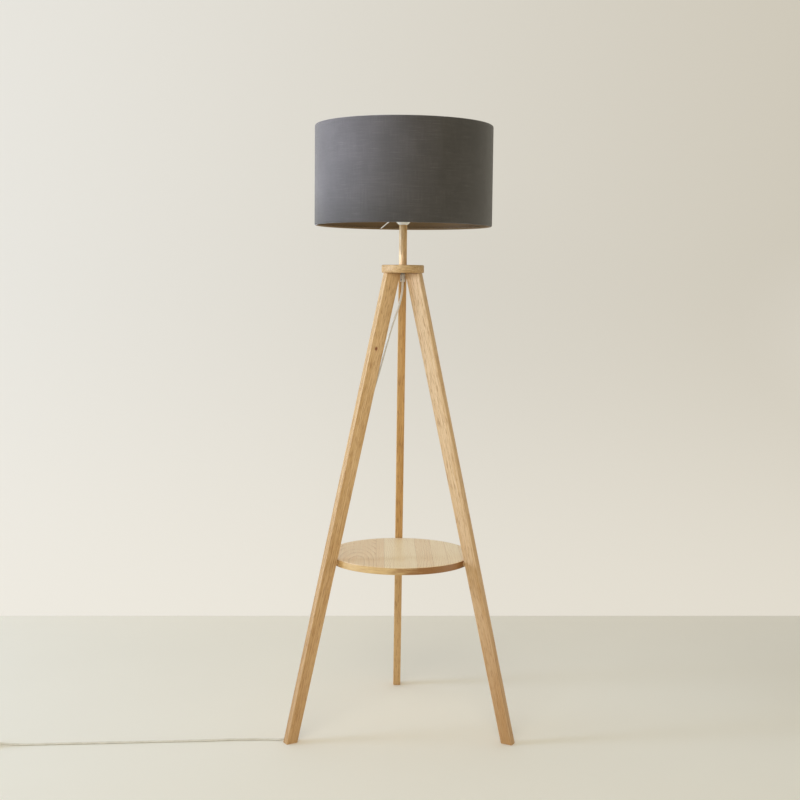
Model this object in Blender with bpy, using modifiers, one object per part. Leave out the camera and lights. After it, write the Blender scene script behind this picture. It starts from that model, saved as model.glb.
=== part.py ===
"""Tripod floor lamp: three splayed wooden legs, a round shelf, a short upright and a drum shade.

Metres, +Z up. The floor is z = 0, the front faces -Y, and the lamp's own axis is the empty
"lamp_axis", which stands so that the lamp's box is centred on the origin.
"""

import math

import bmesh
import bpy
from mathutils import Matrix, Vector

# Clearances
GAP = 0.0003  # between two pieces that touch
TURNING_GAP = 0.0005  # round a piece that turns
SLIDING_GAP = 0.0004  # round a piece that slides

# Legs: tapered planks standing on edge, each in its own radial plane
LEG_AZIMUTHS = {"front_left": 210.0, "front_right": 330.0, "rear": 90.0}
LEG_HEIGHT = 1.176
LEG_THICKNESS = 0.020
LEG_TOP_INNER = 0.0123  # radius of the inner edge under the head disc
LEG_TOP_WIDTH = 0.0392
LEG_FOOT_INNER = 0.3003  # radius of the inner edge on the floor
LEG_FOOT_WIDTH = 0.0306
LEG_ARRIS = 0.0015

# Head disc and what holds the legs to it
DISC_RADIUS = 0.054
DISC_THICKNESS = 0.020
DISC_ARRIS = 0.0016
LEG_SCREW_RADIUS = 0.040  # from the lamp's axis
LEG_SCREW_LENGTH = 0.055
LEG_SCREW_SHANK = 0.0023
SCREW_HEAD_RADIUS = 0.0046
SCREW_HEAD_HEIGHT = 0.0030
DOWEL_OFFSET = 0.0238  # from the lamp's axis
DOWEL_RADIUS = 0.0040
DOWEL_LENGTH = 0.029
DOWEL_IN_DISC = 0.012

# Shelf and what holds it to the legs
SHELF_TOP = 0.453
SHELF_THICKNESS = 0.018
SHELF_ARRIS = 0.0016
SHELF_LEG_GAP = 0.0043  # from the shelf's top edge to the legs
SHELF_SCREW_LENGTH = 0.060
SHELF_SCREW_SHANK = 0.0023
SPACER_RADIUS = 0.0065
PLUG_RADIUS = 0.0050  # wooden plug over the screw's head
PLUG_DEPTH = 0.0100  # from the leg's outer face to the screw's head

# Upright, threaded tube and cord grip
POLE_RADIUS = 0.010
POLE_LENGTH = 0.101
TUBE_RADIUS = 0.0049
TUBE_BORE = 0.0034
NUT_FLATS = 0.014
NUT_HEIGHT = 0.0035
WASHER_RADIUS = 0.0092
WASHER_THICKNESS = 0.0010
NUT_RECESS_RADIUS = 0.0105
GRIP_WALL = 0.0015
GRIP_LENGTH = 0.0200
GRIP_DROP = 0.0027  # from the disc's underside to the grip
GRIP_TUBE_DEPTH = 0.0085  # how far the tube screws into the grip
GRIP_SCREW_RADIUS = 0.0017
GRIP_SCREW_AZIMUTH = 236.0
GRIP_SCREW_DROP = 0.0142  # from the grip's top to its clamp screw

# Lampholder, measured up from the upright's top
HOLDER_FOOT_RADIUS = 0.0115
HOLDER_RADIUS = 0.0195
HOLDER_WALL = 0.0028
HOLDER_SPLIT = 0.018
HOLDER_SHOULDER = 0.0308
HOLDER_SHOULDER_RADIUS = 0.0235
HOLDER_SHOULDER_THICKNESS = 0.0025
HOLDER_HEIGHT = 0.056
BARREL_RADIUS = 0.0192
CORE_THICKNESS = 0.0060
SCREW_SHELL_RADIUS = 0.0152
SCREW_SHELL_WALL = 0.0006
SCREW_SHELL_HEIGHT = 0.0240
SHADE_NUT_RADIUS = 0.0280
SHADE_NUT_HEIGHT = 0.0080

# Bulb
BULB_CAP_RADIUS = 0.0131
BULB_CAP_HEIGHT = 0.0240
BULB_TIP_RADIUS = 0.0048
BULB_TIP_HEIGHT = 0.0022
BULB_NECK_RADIUS = 0.0140
BULB_NECK_HEIGHT = 0.0300
BULB_GLOBE_RADIUS = 0.0300
BULB_GLOBE_HEIGHT = 0.0535
BULB_GLOBE_WALL = 0.0012

# Shade
SHADE_RADIUS = 0.225
SHADE_HEIGHT = 0.250
FABRIC_THICKNESS = 0.0008
LINER_THICKNESS = 0.0005
HEM_DEPTH = 0.0055  # how far the cloth turns in over the wire
WIRE_RADIUS = 0.0015
ARM_RADIUS = 0.0014
ARM_AZIMUTH = 105.0
CARRIER_DROP = 0.032  # from the carrier's centre ring down to the bottom wire
CARRIER_THICKNESS = 0.0016
CARRIER_RING_RADIUS = 0.0315

# Flex and its clips
FLEX_RADIUS = 0.0028
FLEX_HEIGHT = 0.0031  # of the flex's middle where it lies on the floor
CLIP_HEIGHTS = {"top": 0.735, "middle": 0.430, "bottom": 0.085}
CLIP_LEG = "front_left"
CLIP_FROM_EDGE = 0.0070  # from the leg's inner edge to the flex
CLIP_LENGTH = 0.0070
CLIP_WALL = 0.0016
CLIP_NAIL_OFFSET = 0.0072
NAIL_RADIUS = 0.0009
NAIL_DEPTH = 0.0085  # in the leg
NAIL_HEAD_RADIUS = 0.0019
NAIL_HEAD_THICKNESS = 0.0008

# In-line foot switch, lying along X
SWITCH_CENTRE = (-1.057, -0.1905)
SWITCH_LENGTH = 0.094
SWITCH_WIDTH = 0.050
SWITCH_HEIGHT = 0.0235
SWITCH_SPLIT = 0.0085
SWITCH_WALL = 0.0020
SWITCH_ROUNDING = 0.0045
SWITCH_SCREW_OFFSET = 0.031
SWITCH_SCREW_RADIUS = 0.0014
SWITCH_SCREW_HEAD = 0.0028
SWITCH_SCREW_LENGTH = 0.0130
BUTTON_RADIUS = 0.0128
BUTTON_FLANGE = 0.0016
BUTTON_RISE = 0.0042  # above the cover
BRIDGE_LENGTH = 0.018

# Coil of spare flex: three turns on the floor, two more on top of them
COIL_CENTRE = (-1.1124, -0.095)
COIL_INNER = 0.0223
COIL_OUTER = 0.0396
COIL_HEIGHT = 0.0110

# Two-pin plug, lying beside the coil along Y
PLUG_PLACE = (-1.1465, -0.045, 0.0071)  # where the flex enters it
PLUG_RELIEF_LENGTH = 0.024
PLUG_BODY = (0.034, 0.036, 0.0137)
PLUG_ROUNDING = 0.0045
PIN_RADIUS = 0.0020
PIN_SPACING = 0.0190
PIN_LENGTH = 0.0190
PIN_ROOT = 0.0080

# The flex's route, from the lamp's axis: out of the grip, along the far side of the front
# left leg and over the floor to the switch, then from the switch to the coil and the plug
ROUTE_TO_SWITCH = [
    (0.0000, 0.0000, 1.1530),
    (-0.0005, -0.0002, 1.1350),
    (-0.0033, -0.0012, 1.1160),
    (-0.0103, -0.0034, 1.0895),
    (-0.0268, -0.0086, 1.0396),
    (-0.0434, -0.0142, 0.9805),
    (-0.0548, -0.0186, 0.9380),
    (-0.0685, -0.0251, 0.8900),
    (-0.0851, -0.0338, 0.8380),
    (-0.1024, -0.0438, 0.7870),
    (-0.1134, -0.0501, 0.7500),
    (-0.1201, -0.0540, 0.7200),
    (-0.1455, -0.0688, 0.6000),
    (-0.1774, -0.0872, 0.4500),
    (-0.2092, -0.1055, 0.3000),
    (-0.2411, -0.1239, 0.1500),
    (-0.2560, -0.1325, 0.0800),
    (-0.2632, -0.1366, 0.0450),
    (-0.2705, -0.1402, 0.0220),
    (-0.2815, -0.1436, 0.0085),
    (-0.2980, -0.1452, 0.0040),
    (-0.3120, -0.1438, FLEX_HEIGHT),
    (-0.3280, -0.1422, FLEX_HEIGHT),
    (-0.4000, -0.1442, FLEX_HEIGHT),
    (-0.5000, -0.1533, FLEX_HEIGHT),
    (-0.6822, -0.1668, FLEX_HEIGHT),
    (-0.8433, -0.1783, FLEX_HEIGHT),
    (-0.9450, -0.1864, 0.0035),
    (-0.9850, -0.1893, 0.0065),
    (-1.0095, -0.1905, SWITCH_SPLIT),
]
ROUTE_TO_COIL = [
    (-1.1045, -0.1905, SWITCH_SPLIT),
    (-1.1180, -0.1893, 0.0062),
    (-1.1330, -0.1815, 0.0036),
    (-1.1445, -0.1660, FLEX_HEIGHT),
    (-1.1488, -0.1440, FLEX_HEIGHT),
    (-1.1490, -0.1168, FLEX_HEIGHT),
]
ROUTE_TO_PLUG = [
    (-1.1462, -0.0694, 0.0080),
    (-1.1464, -0.0575, 0.0075),
    (-1.1465, -0.0453, 0.0071),
]

SMOOTH_ANGLE = math.radians(35)
QUARTER = math.pi / 2


# Heights that follow from the sizes above
disc_bottom = LEG_HEIGHT + GAP
disc_top = disc_bottom + DISC_THICKNESS
pole_bottom = disc_top + GAP
pole_top = pole_bottom + POLE_LENGTH
holder_bottom = pole_top + GAP
shoulder_top = holder_bottom + HOLDER_SHOULDER
carrier_bottom = shoulder_top + GAP
wire_height = carrier_bottom - CARRIER_DROP
shade_bottom = wire_height - WIRE_RADIUS - GAP - FABRIC_THICKNESS
nut_recess = WASHER_THICKNESS + NUT_HEIGHT + 3 * GAP
grip_radius = TUBE_RADIUS + GRIP_WALL
grip_top = disc_bottom - GRIP_DROP
grip_bottom = grip_top - GRIP_LENGTH
tube_hole = TUBE_RADIUS + GAP
foot_outer = LEG_FOOT_INNER + LEG_FOOT_WIDTH
axis_y = (SHADE_RADIUS - foot_outer) / 2


def inner_radius(height):
    """How far the legs' inner edges are from the lamp's axis at a height."""
    return LEG_FOOT_INNER + (LEG_TOP_INNER - LEG_FOOT_INNER) * height / LEG_HEIGHT


def outer_radius(height):
    """How far the legs' outer edges are from the lamp's axis at a height."""
    top = LEG_TOP_INNER + LEG_TOP_WIDTH
    return foot_outer + (top - foot_outer) * height / LEG_HEIGHT


inner_slope = math.atan2(LEG_FOOT_INNER - LEG_TOP_INNER, LEG_HEIGHT)
outer_slope = math.atan2(foot_outer - LEG_TOP_INNER - LEG_TOP_WIDTH, LEG_HEIGHT)
shelf_radius = inner_radius(SHELF_TOP) - SHELF_LEG_GAP
shelf_middle = SHELF_TOP - SHELF_THICKNESS / 2


# ---------------------------------------------------------------- scene, frames and materials

for old in list(bpy.data.objects):
    bpy.data.objects.remove(old, do_unlink=True)

lamp_parts = bpy.data.collections.new("tripod_floor_lamp")
cutters = bpy.data.collections.new("cutters")
bpy.context.scene.collection.children.link(lamp_parts)
bpy.context.scene.collection.children.link(cutters)


def frame(name, parent=None, location=(0, 0, 0), rotation=(0, 0, 0)):
    """An empty that places the pieces parented to it."""
    empty = bpy.data.objects.new(name, None)
    empty.location = location
    empty.rotation_euler = rotation
    empty.parent = parent
    lamp_parts.objects.link(empty)
    return empty


lamp_axis = frame("lamp_axis", location=(0, axis_y, 0))
# In a leg's frame X runs outwards, Y runs up and Z is the leg's normal.
leg_frames = {
    side: frame("leg_frame_" + side, lamp_axis, rotation=(QUARTER, 0, math.radians(azimuth)))
    for side, azimuth in LEG_AZIMUTHS.items()
}
shade_axis = frame("shade_axis", lamp_axis)
bulb_axis = frame("bulb_axis", lamp_axis)
switch_frame = frame("switch_frame", lamp_axis, location=(*SWITCH_CENTRE, 0))
plug_frame = frame("plug_frame", lamp_axis, location=PLUG_PLACE)


def material(name, colour, roughness, metallic=0.0):
    """A plain finish for one kind of piece."""
    made = bpy.data.materials.new(name)
    made.use_nodes = True
    shader = made.node_tree.nodes["Principled BSDF"]
    shader.inputs["Base Color"].default_value = (*colour, 1.0)
    shader.inputs["Roughness"].default_value = roughness
    shader.inputs["Metallic"].default_value = metallic
    return made


oak = material("oiled_oak", (0.53, 0.34, 0.155), 0.5)
shelf_oak = material("shelf_oak", (0.62, 0.44, 0.25), 0.45)
linen = material("grey_linen", (0.17, 0.165, 0.16), 0.9)
film = material("shade_film", (0.22, 0.16, 0.09), 0.6)
white_metal = material("white_enamel", (0.82, 0.81, 0.78), 0.4)
white_plastic = material("white_plastic", (0.80, 0.79, 0.76), 0.35)
clear_plastic = material("clear_grip_plastic", (0.62, 0.60, 0.56), 0.25)
steel = material("zinc_steel", (0.55, 0.54, 0.52), 0.35, 1.0)
brass = material("brass", (0.72, 0.52, 0.24), 0.3, 1.0)
nickel = material("nickel", (0.66, 0.64, 0.60), 0.25, 1.0)
opal = material("opal_globe", (0.88, 0.87, 0.84), 0.3)
flex_plastic = material("flex_plastic", (0.60, 0.56, 0.50), 0.4)


# ---------------------------------------------------------------- ways of making a piece


def add(name, mesh, finish, parent=lamp_axis, location=(0, 0, 0), rotation=(0, 0, 0)):
    """Puts a mesh into the lamp as a named piece with a finish."""
    made = bpy.data.objects.new(name, mesh)
    made.location = location
    made.rotation_euler = rotation
    made.parent = parent
    lamp_parts.objects.link(made)
    if finish:
        mesh.materials.append(finish)
        mesh.shade_smooth()
        mesh.set_sharp_from_angle(angle=SMOOTH_ANGLE)
    return made


def cutter(name, mesh, parent=lamp_axis, location=(0, 0, 0), rotation=(0, 0, 0)):
    """A helper that only cuts."""
    made = add(name, mesh, None, parent, location, rotation)
    lamp_parts.objects.unlink(made)
    cutters.objects.link(made)
    made.hide_render = True
    made.display_type = "WIRE"
    return made


def boolean(piece, other, operation="DIFFERENCE"):
    """Cuts or joins another mesh into a piece."""
    step = piece.modifiers.new(operation.lower() + "_" + other.name, "BOOLEAN")
    step.object = other
    step.operation = operation
    step.solver = "EXACT"


def rounded(piece, width, segments=1):
    """Eases the sharp edges of a piece."""
    bevel = piece.modifiers.new("arris", "BEVEL")
    bevel.width = width
    bevel.segments = segments
    bevel.limit_method = "ANGLE"
    bevel.angle_limit = SMOOTH_ANGLE


def cylinder(radius, length, sides=24, far_radius=None):
    """A cylinder or cone mesh along Z that starts at z = 0."""
    mesh = bpy.data.meshes.new("cylinder")
    shape = bmesh.new()
    bmesh.ops.create_cone(
        shape,
        cap_ends=True,
        segments=sides,
        radius1=radius,
        radius2=radius if far_radius is None else far_radius,
        depth=length,
        matrix=Matrix.Translation((0, 0, length / 2)),
    )
    shape.to_mesh(mesh)
    shape.free()
    return mesh


def block(size, centre=(0, 0, 0)):
    """A box mesh with its sides along the axes."""
    mesh = bpy.data.meshes.new("block")
    shape = bmesh.new()
    place = Matrix.Translation(centre) @ Matrix.Diagonal((*size, 1.0))
    bmesh.ops.create_cube(shape, size=1.0, matrix=place)
    shape.to_mesh(mesh)
    shape.free()
    return mesh


def turned(name, profile, finish, steps=32, closed=True, **place):
    """A shape turned round Z from (radius, height) points that run down its outer side."""
    mesh = bpy.data.meshes.new(name)
    count = len(profile)
    edges = [(i, i + 1) for i in range(count - 1)]
    if closed:
        edges.append((count - 1, 0))
    mesh.from_pydata([(radius, 0.0, height) for radius, height in profile], edges, [])
    made = add(name, mesh, None, **place)
    mesh.materials.append(finish)
    screw = made.modifiers.new("turn", "SCREW")
    screw.steps = steps
    screw.render_steps = steps
    screw.use_merge_vertices = True
    screw.merge_threshold = 0.00002
    screw.use_smooth_shade = True
    return made


def plate(outline, thickness):
    """A flat mesh with a given outline in XY, centred on z = 0."""
    curve = bpy.data.curves.new("outline", "CURVE")
    curve.dimensions = "2D"
    curve.fill_mode = "BOTH"
    curve.extrude = thickness / 2
    spline = curve.splines.new("POLY")
    spline.points.add(len(outline) - 1)
    for point, (x, y) in zip(spline.points, outline, strict=True):
        point.co = (x, y, 0, 1)
    spline.use_cyclic_u = True
    return welded(curve)


def welded(curve):
    """The closed mesh of a curve, with the curve itself removed."""
    holder = bpy.data.objects.new("curve", curve)
    bpy.context.scene.collection.objects.link(holder)
    mesh = bpy.data.meshes.new_from_object(
        holder.evaluated_get(bpy.context.evaluated_depsgraph_get())
    )
    bpy.data.objects.remove(holder, do_unlink=True)
    shape = bmesh.new()
    shape.from_mesh(mesh)
    bmesh.ops.remove_doubles(shape, verts=shape.verts, dist=0.00001)
    bmesh.ops.recalc_face_normals(shape, faces=shape.faces)
    shape.to_mesh(mesh)
    shape.free()
    mesh.materials.clear()
    return mesh


def stadium(length, width, arc_steps=8):
    """The outline of a bar with half-round ends, lying along X."""
    radius = width / 2
    straight = length / 2 - radius
    ends = []
    for side, start in ((1, -QUARTER), (-1, QUARTER)):
        for i in range(arc_steps + 1):
            angle = start + math.pi * i / arc_steps
            ends.append((side * straight + radius * math.cos(angle), radius * math.sin(angle)))
    return ends


def smooth_line(route, count):
    """Evenly spaced points on a smooth curve through every point of a route."""
    knots = [Vector(point) for point in route]
    knots = [2 * knots[0] - knots[1], *knots, 2 * knots[-1] - knots[-2]]
    fine = []
    for a, b, c, d in zip(knots, knots[1:], knots[2:], knots[3:]):
        first, middle, last = ((q - p).length ** 0.5 for p, q in ((a, b), (b, c), (c, d)))
        leave = (b - a) / first - (c - a) / (first + middle) + (c - b) / middle
        arrive = (c - b) / middle - (d - b) / (middle + last) + (d - c) / last
        for i in range(40):
            t = i / 40
            fine.append(
                b * (2 * t**3 - 3 * t**2 + 1)
                + c * (3 * t**2 - 2 * t**3)
                + leave * middle * (t**3 - 2 * t**2 + t)
                + arrive * middle * (t**3 - t**2)
            )
    fine.append(knots[-2])
    run = [0.0]
    for p, q in zip(fine, fine[1:]):
        run.append(run[-1] + (q - p).length)
    points = []
    at = 0
    for i in range(count):
        want = run[-1] * i / (count - 1)
        while at < len(run) - 2 and run[at + 1] < want:
            at += 1
        share = (want - run[at]) / max(run[at + 1] - run[at], 1e-9)
        points.append(fine[at].lerp(fine[at + 1], min(share, 1.0)))
    return points


def tube(name, points, radius, finish, parent=lamp_axis):
    """A round cord or wire along a list of points."""
    curve = bpy.data.curves.new(name, "CURVE")
    curve.dimensions = "3D"
    curve.bevel_depth = radius
    curve.bevel_resolution = 2
    curve.use_fill_caps = True
    spline = curve.splines.new("POLY")
    spline.points.add(len(points) - 1)
    for point, place in zip(spline.points, points, strict=True):
        point.co = (*place, 1)
    curve.materials.append(finish)
    made = bpy.data.objects.new(name, curve)
    made.parent = parent
    lamp_parts.objects.link(made)
    return made


def sliced(mesh, point, normal):
    """Cuts off what lies past a plane and closes the cut."""
    shape = bmesh.new()
    shape.from_mesh(mesh)
    everything = [*shape.verts, *shape.edges, *shape.faces]
    cut = bmesh.ops.bisect_plane(
        shape, geom=everything, plane_co=point, plane_no=normal, clear_outer=True
    )
    edges = [part for part in cut["geom_cut"] if isinstance(part, bmesh.types.BMEdge)]
    bmesh.ops.holes_fill(shape, edges=edges)
    bmesh.ops.recalc_face_normals(shape, faces=shape.faces)
    shape.to_mesh(mesh)
    shape.free()
    return mesh


def screw_mesh(length, shank, head_radius, head_height, sides=16):
    """A countersunk screw whose head's top is at z = 0 and whose shank runs down."""
    mesh = bpy.data.meshes.new("screw")
    shape = bmesh.new()
    rings = []
    profile = [
        (head_radius, 0.0),
        (head_radius, -0.0006),
        (shank, -head_height),
        (shank, shank * 1.5 - length),
        (shank * 0.35, -length),
    ]
    for radius, height in profile:
        ring = bmesh.ops.create_circle(
            shape, cap_ends=False, radius=radius, segments=sides,
            matrix=Matrix.Translation((0, 0, height)),
        )["verts"]
        rings.append(ring)
    for upper, lower in zip(rings, rings[1:]):
        between = {edge for vert in upper + lower for edge in vert.link_edges}
        bmesh.ops.bridge_loops(shape, edges=list(between & ring_edges(upper, lower)))
    bmesh.ops.contextual_create(shape, geom=list(ring_edges(rings[0])))
    bmesh.ops.contextual_create(shape, geom=list(ring_edges(rings[-1])))
    bmesh.ops.recalc_face_normals(shape, faces=shape.faces)
    shape.to_mesh(mesh)
    shape.free()
    return mesh


def ring_edges(*rings):
    """The edges whose two ends are both in one of the rings of vertices."""
    found = set()
    for ring in rings:
        members = set(ring)
        for vert in ring:
            found |= {edge for edge in vert.link_edges if set(edge.verts) <= members}
    return found


# ---------------------------------------------------------------- legs, head disc and shelf

ALONG_X = (0, QUARTER, 0)  # turns a Z shape to run along X
ALONG_Y = (-QUARTER, 0, 0)  # turns a Z shape to run along Y
DOWN_Y = (QUARTER, 0, 0)  # turns a Z shape to run down -Y


def make_leg(side):
    """One leg with its screw, dowel, shelf screw, spacer and plug."""
    where = leg_frames[side]
    outline = [
        (LEG_FOOT_INNER, 0.0),
        (foot_outer, 0.0),
        (LEG_TOP_INNER + LEG_TOP_WIDTH, LEG_HEIGHT),
        (LEG_TOP_INNER, LEG_HEIGHT),
    ]
    leg = add("leg_" + side, plate(outline, LEG_THICKNESS), oak, where)
    rounded(leg, LEG_ARRIS)

    screw_depth = LEG_SCREW_LENGTH - DISC_THICKNESS + 0.001
    screw_hole = cutter(
        "leg_screw_hole_" + side,
        cylinder(LEG_SCREW_SHANK + GAP, screw_depth + 0.002, 16),
        where,
        (LEG_SCREW_RADIUS, LEG_HEIGHT + 0.002, 0),
        DOWN_Y,
    )
    boolean(leg, screw_hole)
    dowel_depth = DOWEL_LENGTH - DOWEL_IN_DISC + 0.001
    dowel_hole = cutter(
        "leg_dowel_hole_" + side,
        cylinder(DOWEL_RADIUS + GAP, dowel_depth + 0.002, 16),
        where,
        (DOWEL_OFFSET, LEG_HEIGHT + 0.002, 0),
        DOWN_Y,
    )
    boolean(leg, dowel_hole)

    add(
        "leg_screw_" + side,
        screw_mesh(LEG_SCREW_LENGTH, LEG_SCREW_SHANK, SCREW_HEAD_RADIUS, SCREW_HEAD_HEIGHT),
        steel,
        where,
        (LEG_SCREW_RADIUS, disc_top - 0.0002, 0),
        ALONG_Y,
    )
    add(
        "leg_dowel_" + side,
        cylinder(DOWEL_RADIUS, DOWEL_LENGTH, 16),
        oak,
        where,
        (DOWEL_OFFSET, disc_bottom + DOWEL_IN_DISC - GAP - DOWEL_LENGTH, 0),
        ALONG_Y,
    )

    # The shelf's screw runs inwards from a recess in the leg's outer face.
    outer_face = outer_radius(shelf_middle)
    seat = outer_face - PLUG_DEPTH - SCREW_HEAD_HEIGHT
    recess = cutter(
        "plug_hole_" + side,
        cylinder(PLUG_RADIUS + GAP, PLUG_DEPTH + 0.02, 20),
        where,
        (seat, shelf_middle, 0),
        ALONG_X,
    )
    boolean(leg, recess)
    through = cutter(
        "shelf_screw_hole_" + side,
        cylinder(SHELF_SCREW_SHANK + GAP, SHELF_SCREW_LENGTH + 0.001, 16),
        where,
        (seat + SCREW_HEAD_HEIGHT - SHELF_SCREW_LENGTH - 0.001, shelf_middle, 0),
        ALONG_X,
    )
    boolean(leg, through)
    add(
        "shelf_screw_" + side,
        screw_mesh(SHELF_SCREW_LENGTH, SHELF_SCREW_SHANK, SCREW_HEAD_RADIUS, SCREW_HEAD_HEIGHT),
        steel,
        where,
        (seat + GAP + SCREW_HEAD_HEIGHT, shelf_middle, 0),
        ALONG_X,
    )

    plug_start = seat + SCREW_HEAD_HEIGHT + 2 * GAP
    plug_mesh = cylinder(PLUG_RADIUS, PLUG_DEPTH + 0.01, 20)
    sliced(
        plug_mesh,
        (0, 0, outer_face - plug_start),
        (0, math.sin(outer_slope), math.cos(outer_slope)),
    )
    add("shelf_plug_" + side, plug_mesh, oak, where, (plug_start, shelf_middle, 0), ALONG_X)

    spacer_start = shelf_radius + GAP
    inner_face = inner_radius(shelf_middle) - GAP
    spacer_mesh = cylinder(SPACER_RADIUS, 0.03, 20)
    sliced(
        spacer_mesh,
        (0, 0, inner_face - spacer_start),
        (0, math.sin(inner_slope), math.cos(inner_slope)),
    )
    spacer = add(
        "shelf_spacer_" + side, spacer_mesh, oak, where, (spacer_start, shelf_middle, 0), ALONG_X
    )
    boolean(spacer, through)
    return leg, screw_hole, dowel_hole, through


legs = {}
disc = add("head_disc", cylinder(DISC_RADIUS, DISC_THICKNESS, 48), oak, location=(0, 0, disc_bottom))
rounded(disc, DISC_ARRIS)
shelf = add(
    "shelf",
    cylinder(shelf_radius, SHELF_THICKNESS, 72),
    shelf_oak,
    location=(0, 0, SHELF_TOP - SHELF_THICKNESS),
)
rounded(shelf, SHELF_ARRIS)

for leg_side in LEG_AZIMUTHS:
    leg_made, _, _, shelf_hole = make_leg(leg_side)
    legs[leg_side] = leg_made
    boolean(shelf, shelf_hole)
    place = leg_frames[leg_side]
    boolean(
        disc,
        cutter(
            "disc_screw_hole_" + leg_side,
            cylinder(LEG_SCREW_SHANK + GAP, DISC_THICKNESS + 0.01, 16),
            place,
            (LEG_SCREW_RADIUS, disc_bottom - 0.005, 0),
            ALONG_Y,
        ),
    )
    boolean(
        disc,
        cutter(
            "disc_countersink_" + leg_side,
            cylinder(
                LEG_SCREW_SHANK + GAP,
                SCREW_HEAD_HEIGHT + 0.001,
                16,
                SCREW_HEAD_RADIUS + 0.0014,
            ),
            place,
            (LEG_SCREW_RADIUS, disc_top - SCREW_HEAD_HEIGHT - 0.0006, 0),
            ALONG_Y,
        ),
    )
    boolean(
        disc,
        cutter(
            "disc_dowel_hole_" + leg_side,
            cylinder(DOWEL_RADIUS + GAP, DOWEL_IN_DISC + 0.005, 16),
            place,
            (DOWEL_OFFSET, disc_bottom - 0.005, 0),
            ALONG_Y,
        ),
    )

tube_passage = cutter(
    "tube_passage", cylinder(tube_hole, DISC_THICKNESS + 0.02, 24), location=(0, 0, disc_bottom - 0.01)
)
boolean(disc, tube_passage)
nut_pocket = cutter(
    "nut_pocket",
    cylinder(NUT_RECESS_RADIUS, nut_recess + 0.005, 24),
    location=(0, 0, disc_bottom - 0.005),
)
boolean(disc, nut_pocket)


# ---------------------------------------------------------------- upright, tube and cord grip

turned(
    "upright_pole",
    [
        (POLE_RADIUS, POLE_LENGTH),
        (POLE_RADIUS, 0),
        (tube_hole, 0),
        (tube_hole, POLE_LENGTH),
    ],
    oak,
    location=(0, 0, pole_bottom),
)
tube_bottom = grip_top - GRIP_TUBE_DEPTH + GAP
tube_top = holder_bottom + 0.0085
turned(
    "threaded_tube",
    [
        (TUBE_RADIUS, tube_top),
        (TUBE_RADIUS, tube_bottom),
        (TUBE_BORE, tube_bottom),
        (TUBE_BORE, tube_top),
    ],
    steel,
    24,
)
washer_top = disc_bottom + nut_recess - GAP
turned(
    "tube_washer",
    [
        (WASHER_RADIUS, washer_top),
        (WASHER_RADIUS, washer_top - WASHER_THICKNESS),
        (tube_hole, washer_top - WASHER_THICKNESS),
        (tube_hole, washer_top),
    ],
    steel,
    24,
)
nut_top = washer_top - WASHER_THICKNESS - GAP
nut = add(
    "tube_nut",
    cylinder(NUT_FLATS / math.sqrt(3), NUT_HEIGHT, 6),
    steel,
    location=(0, 0, nut_top - NUT_HEIGHT),
)
nut_hole = cutter(
    "nut_hole",
    cylinder(tube_hole, NUT_HEIGHT + 0.004, 24),
    location=(0, 0, nut_top - NUT_HEIGHT - 0.002),
)
boolean(nut, nut_hole)

grip = turned(
    "cord_grip",
    [
        (tube_hole + 0.0003, grip_top),
        (grip_radius - 0.0003, grip_top - 0.0006),
        (grip_radius, grip_top - 0.0020),
        (grip_radius, grip_bottom + 0.0035),
        (grip_radius - 0.0012, grip_bottom),
        (FLEX_RADIUS + GAP, grip_bottom),
        (FLEX_RADIUS + GAP, grip_top - GRIP_TUBE_DEPTH),
        (tube_hole, grip_top - GRIP_TUBE_DEPTH),
        (tube_hole, grip_top - 0.0010),
    ],
    clear_plastic,
    24,
)
grip_screw_height = grip_top - GRIP_SCREW_DROP
grip_screw_turn = (0, QUARTER, math.radians(GRIP_SCREW_AZIMUTH))
grip_screw_hole = cutter(
    "grip_screw_hole",
    cylinder(GRIP_SCREW_RADIUS + GAP, 0.012, 12),
    location=(0, 0, grip_screw_height),
    rotation=grip_screw_turn,
)
boolean(grip, grip_screw_hole)
screw_start = FLEX_RADIUS + GAP
screw_reach = Vector((math.cos(grip_screw_turn[2]), math.sin(grip_screw_turn[2]), 0)) * screw_start
add(
    "cord_grip_screw",
    cylinder(GRIP_SCREW_RADIUS, grip_radius + 0.0004 - screw_start, 12),
    steel,
    location=(screw_reach.x, screw_reach.y, grip_screw_height),
    rotation=grip_screw_turn,
)


# ---------------------------------------------------------------- lampholder and bulb

holder_inner = HOLDER_RADIUS - HOLDER_WALL
turned(
    "lampholder_cap",
    [
        (HOLDER_RADIUS, HOLDER_SPLIT),
        (HOLDER_RADIUS - 0.0002, 0.0125),
        (HOLDER_RADIUS - 0.0013, 0.0080),
        (HOLDER_RADIUS - 0.0029, 0.0051),
        (HOLDER_FOOT_RADIUS, 0.0),
        (tube_hole, 0.0),
        (tube_hole, 0.0060),
        (holder_inner - 0.0080, 0.0060),
        (holder_inner - 0.0022, 0.0092),
        (holder_inner, 0.0130),
        (holder_inner, HOLDER_SPLIT),
    ],
    white_plastic,
    location=(0, 0, holder_bottom),
)
shell_bottom = HOLDER_SPLIT + GAP
shoulder_under = HOLDER_SHOULDER - HOLDER_SHOULDER_THICKNESS
turned(
    "lampholder_shell",
    [
        (BARREL_RADIUS, HOLDER_HEIGHT),
        (BARREL_RADIUS, HOLDER_SHOULDER),
        (HOLDER_SHOULDER_RADIUS, HOLDER_SHOULDER),
        (HOLDER_SHOULDER_RADIUS, shoulder_under),
        (HOLDER_RADIUS, shoulder_under),
        (HOLDER_RADIUS, shell_bottom),
        (holder_inner, shell_bottom),
        (holder_inner, HOLDER_HEIGHT),
    ],
    white_plastic,
    location=(0, 0, holder_bottom),
)
core_bottom = holder_bottom + shell_bottom + 0.0010
core_top = core_bottom + CORE_THICKNESS
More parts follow.
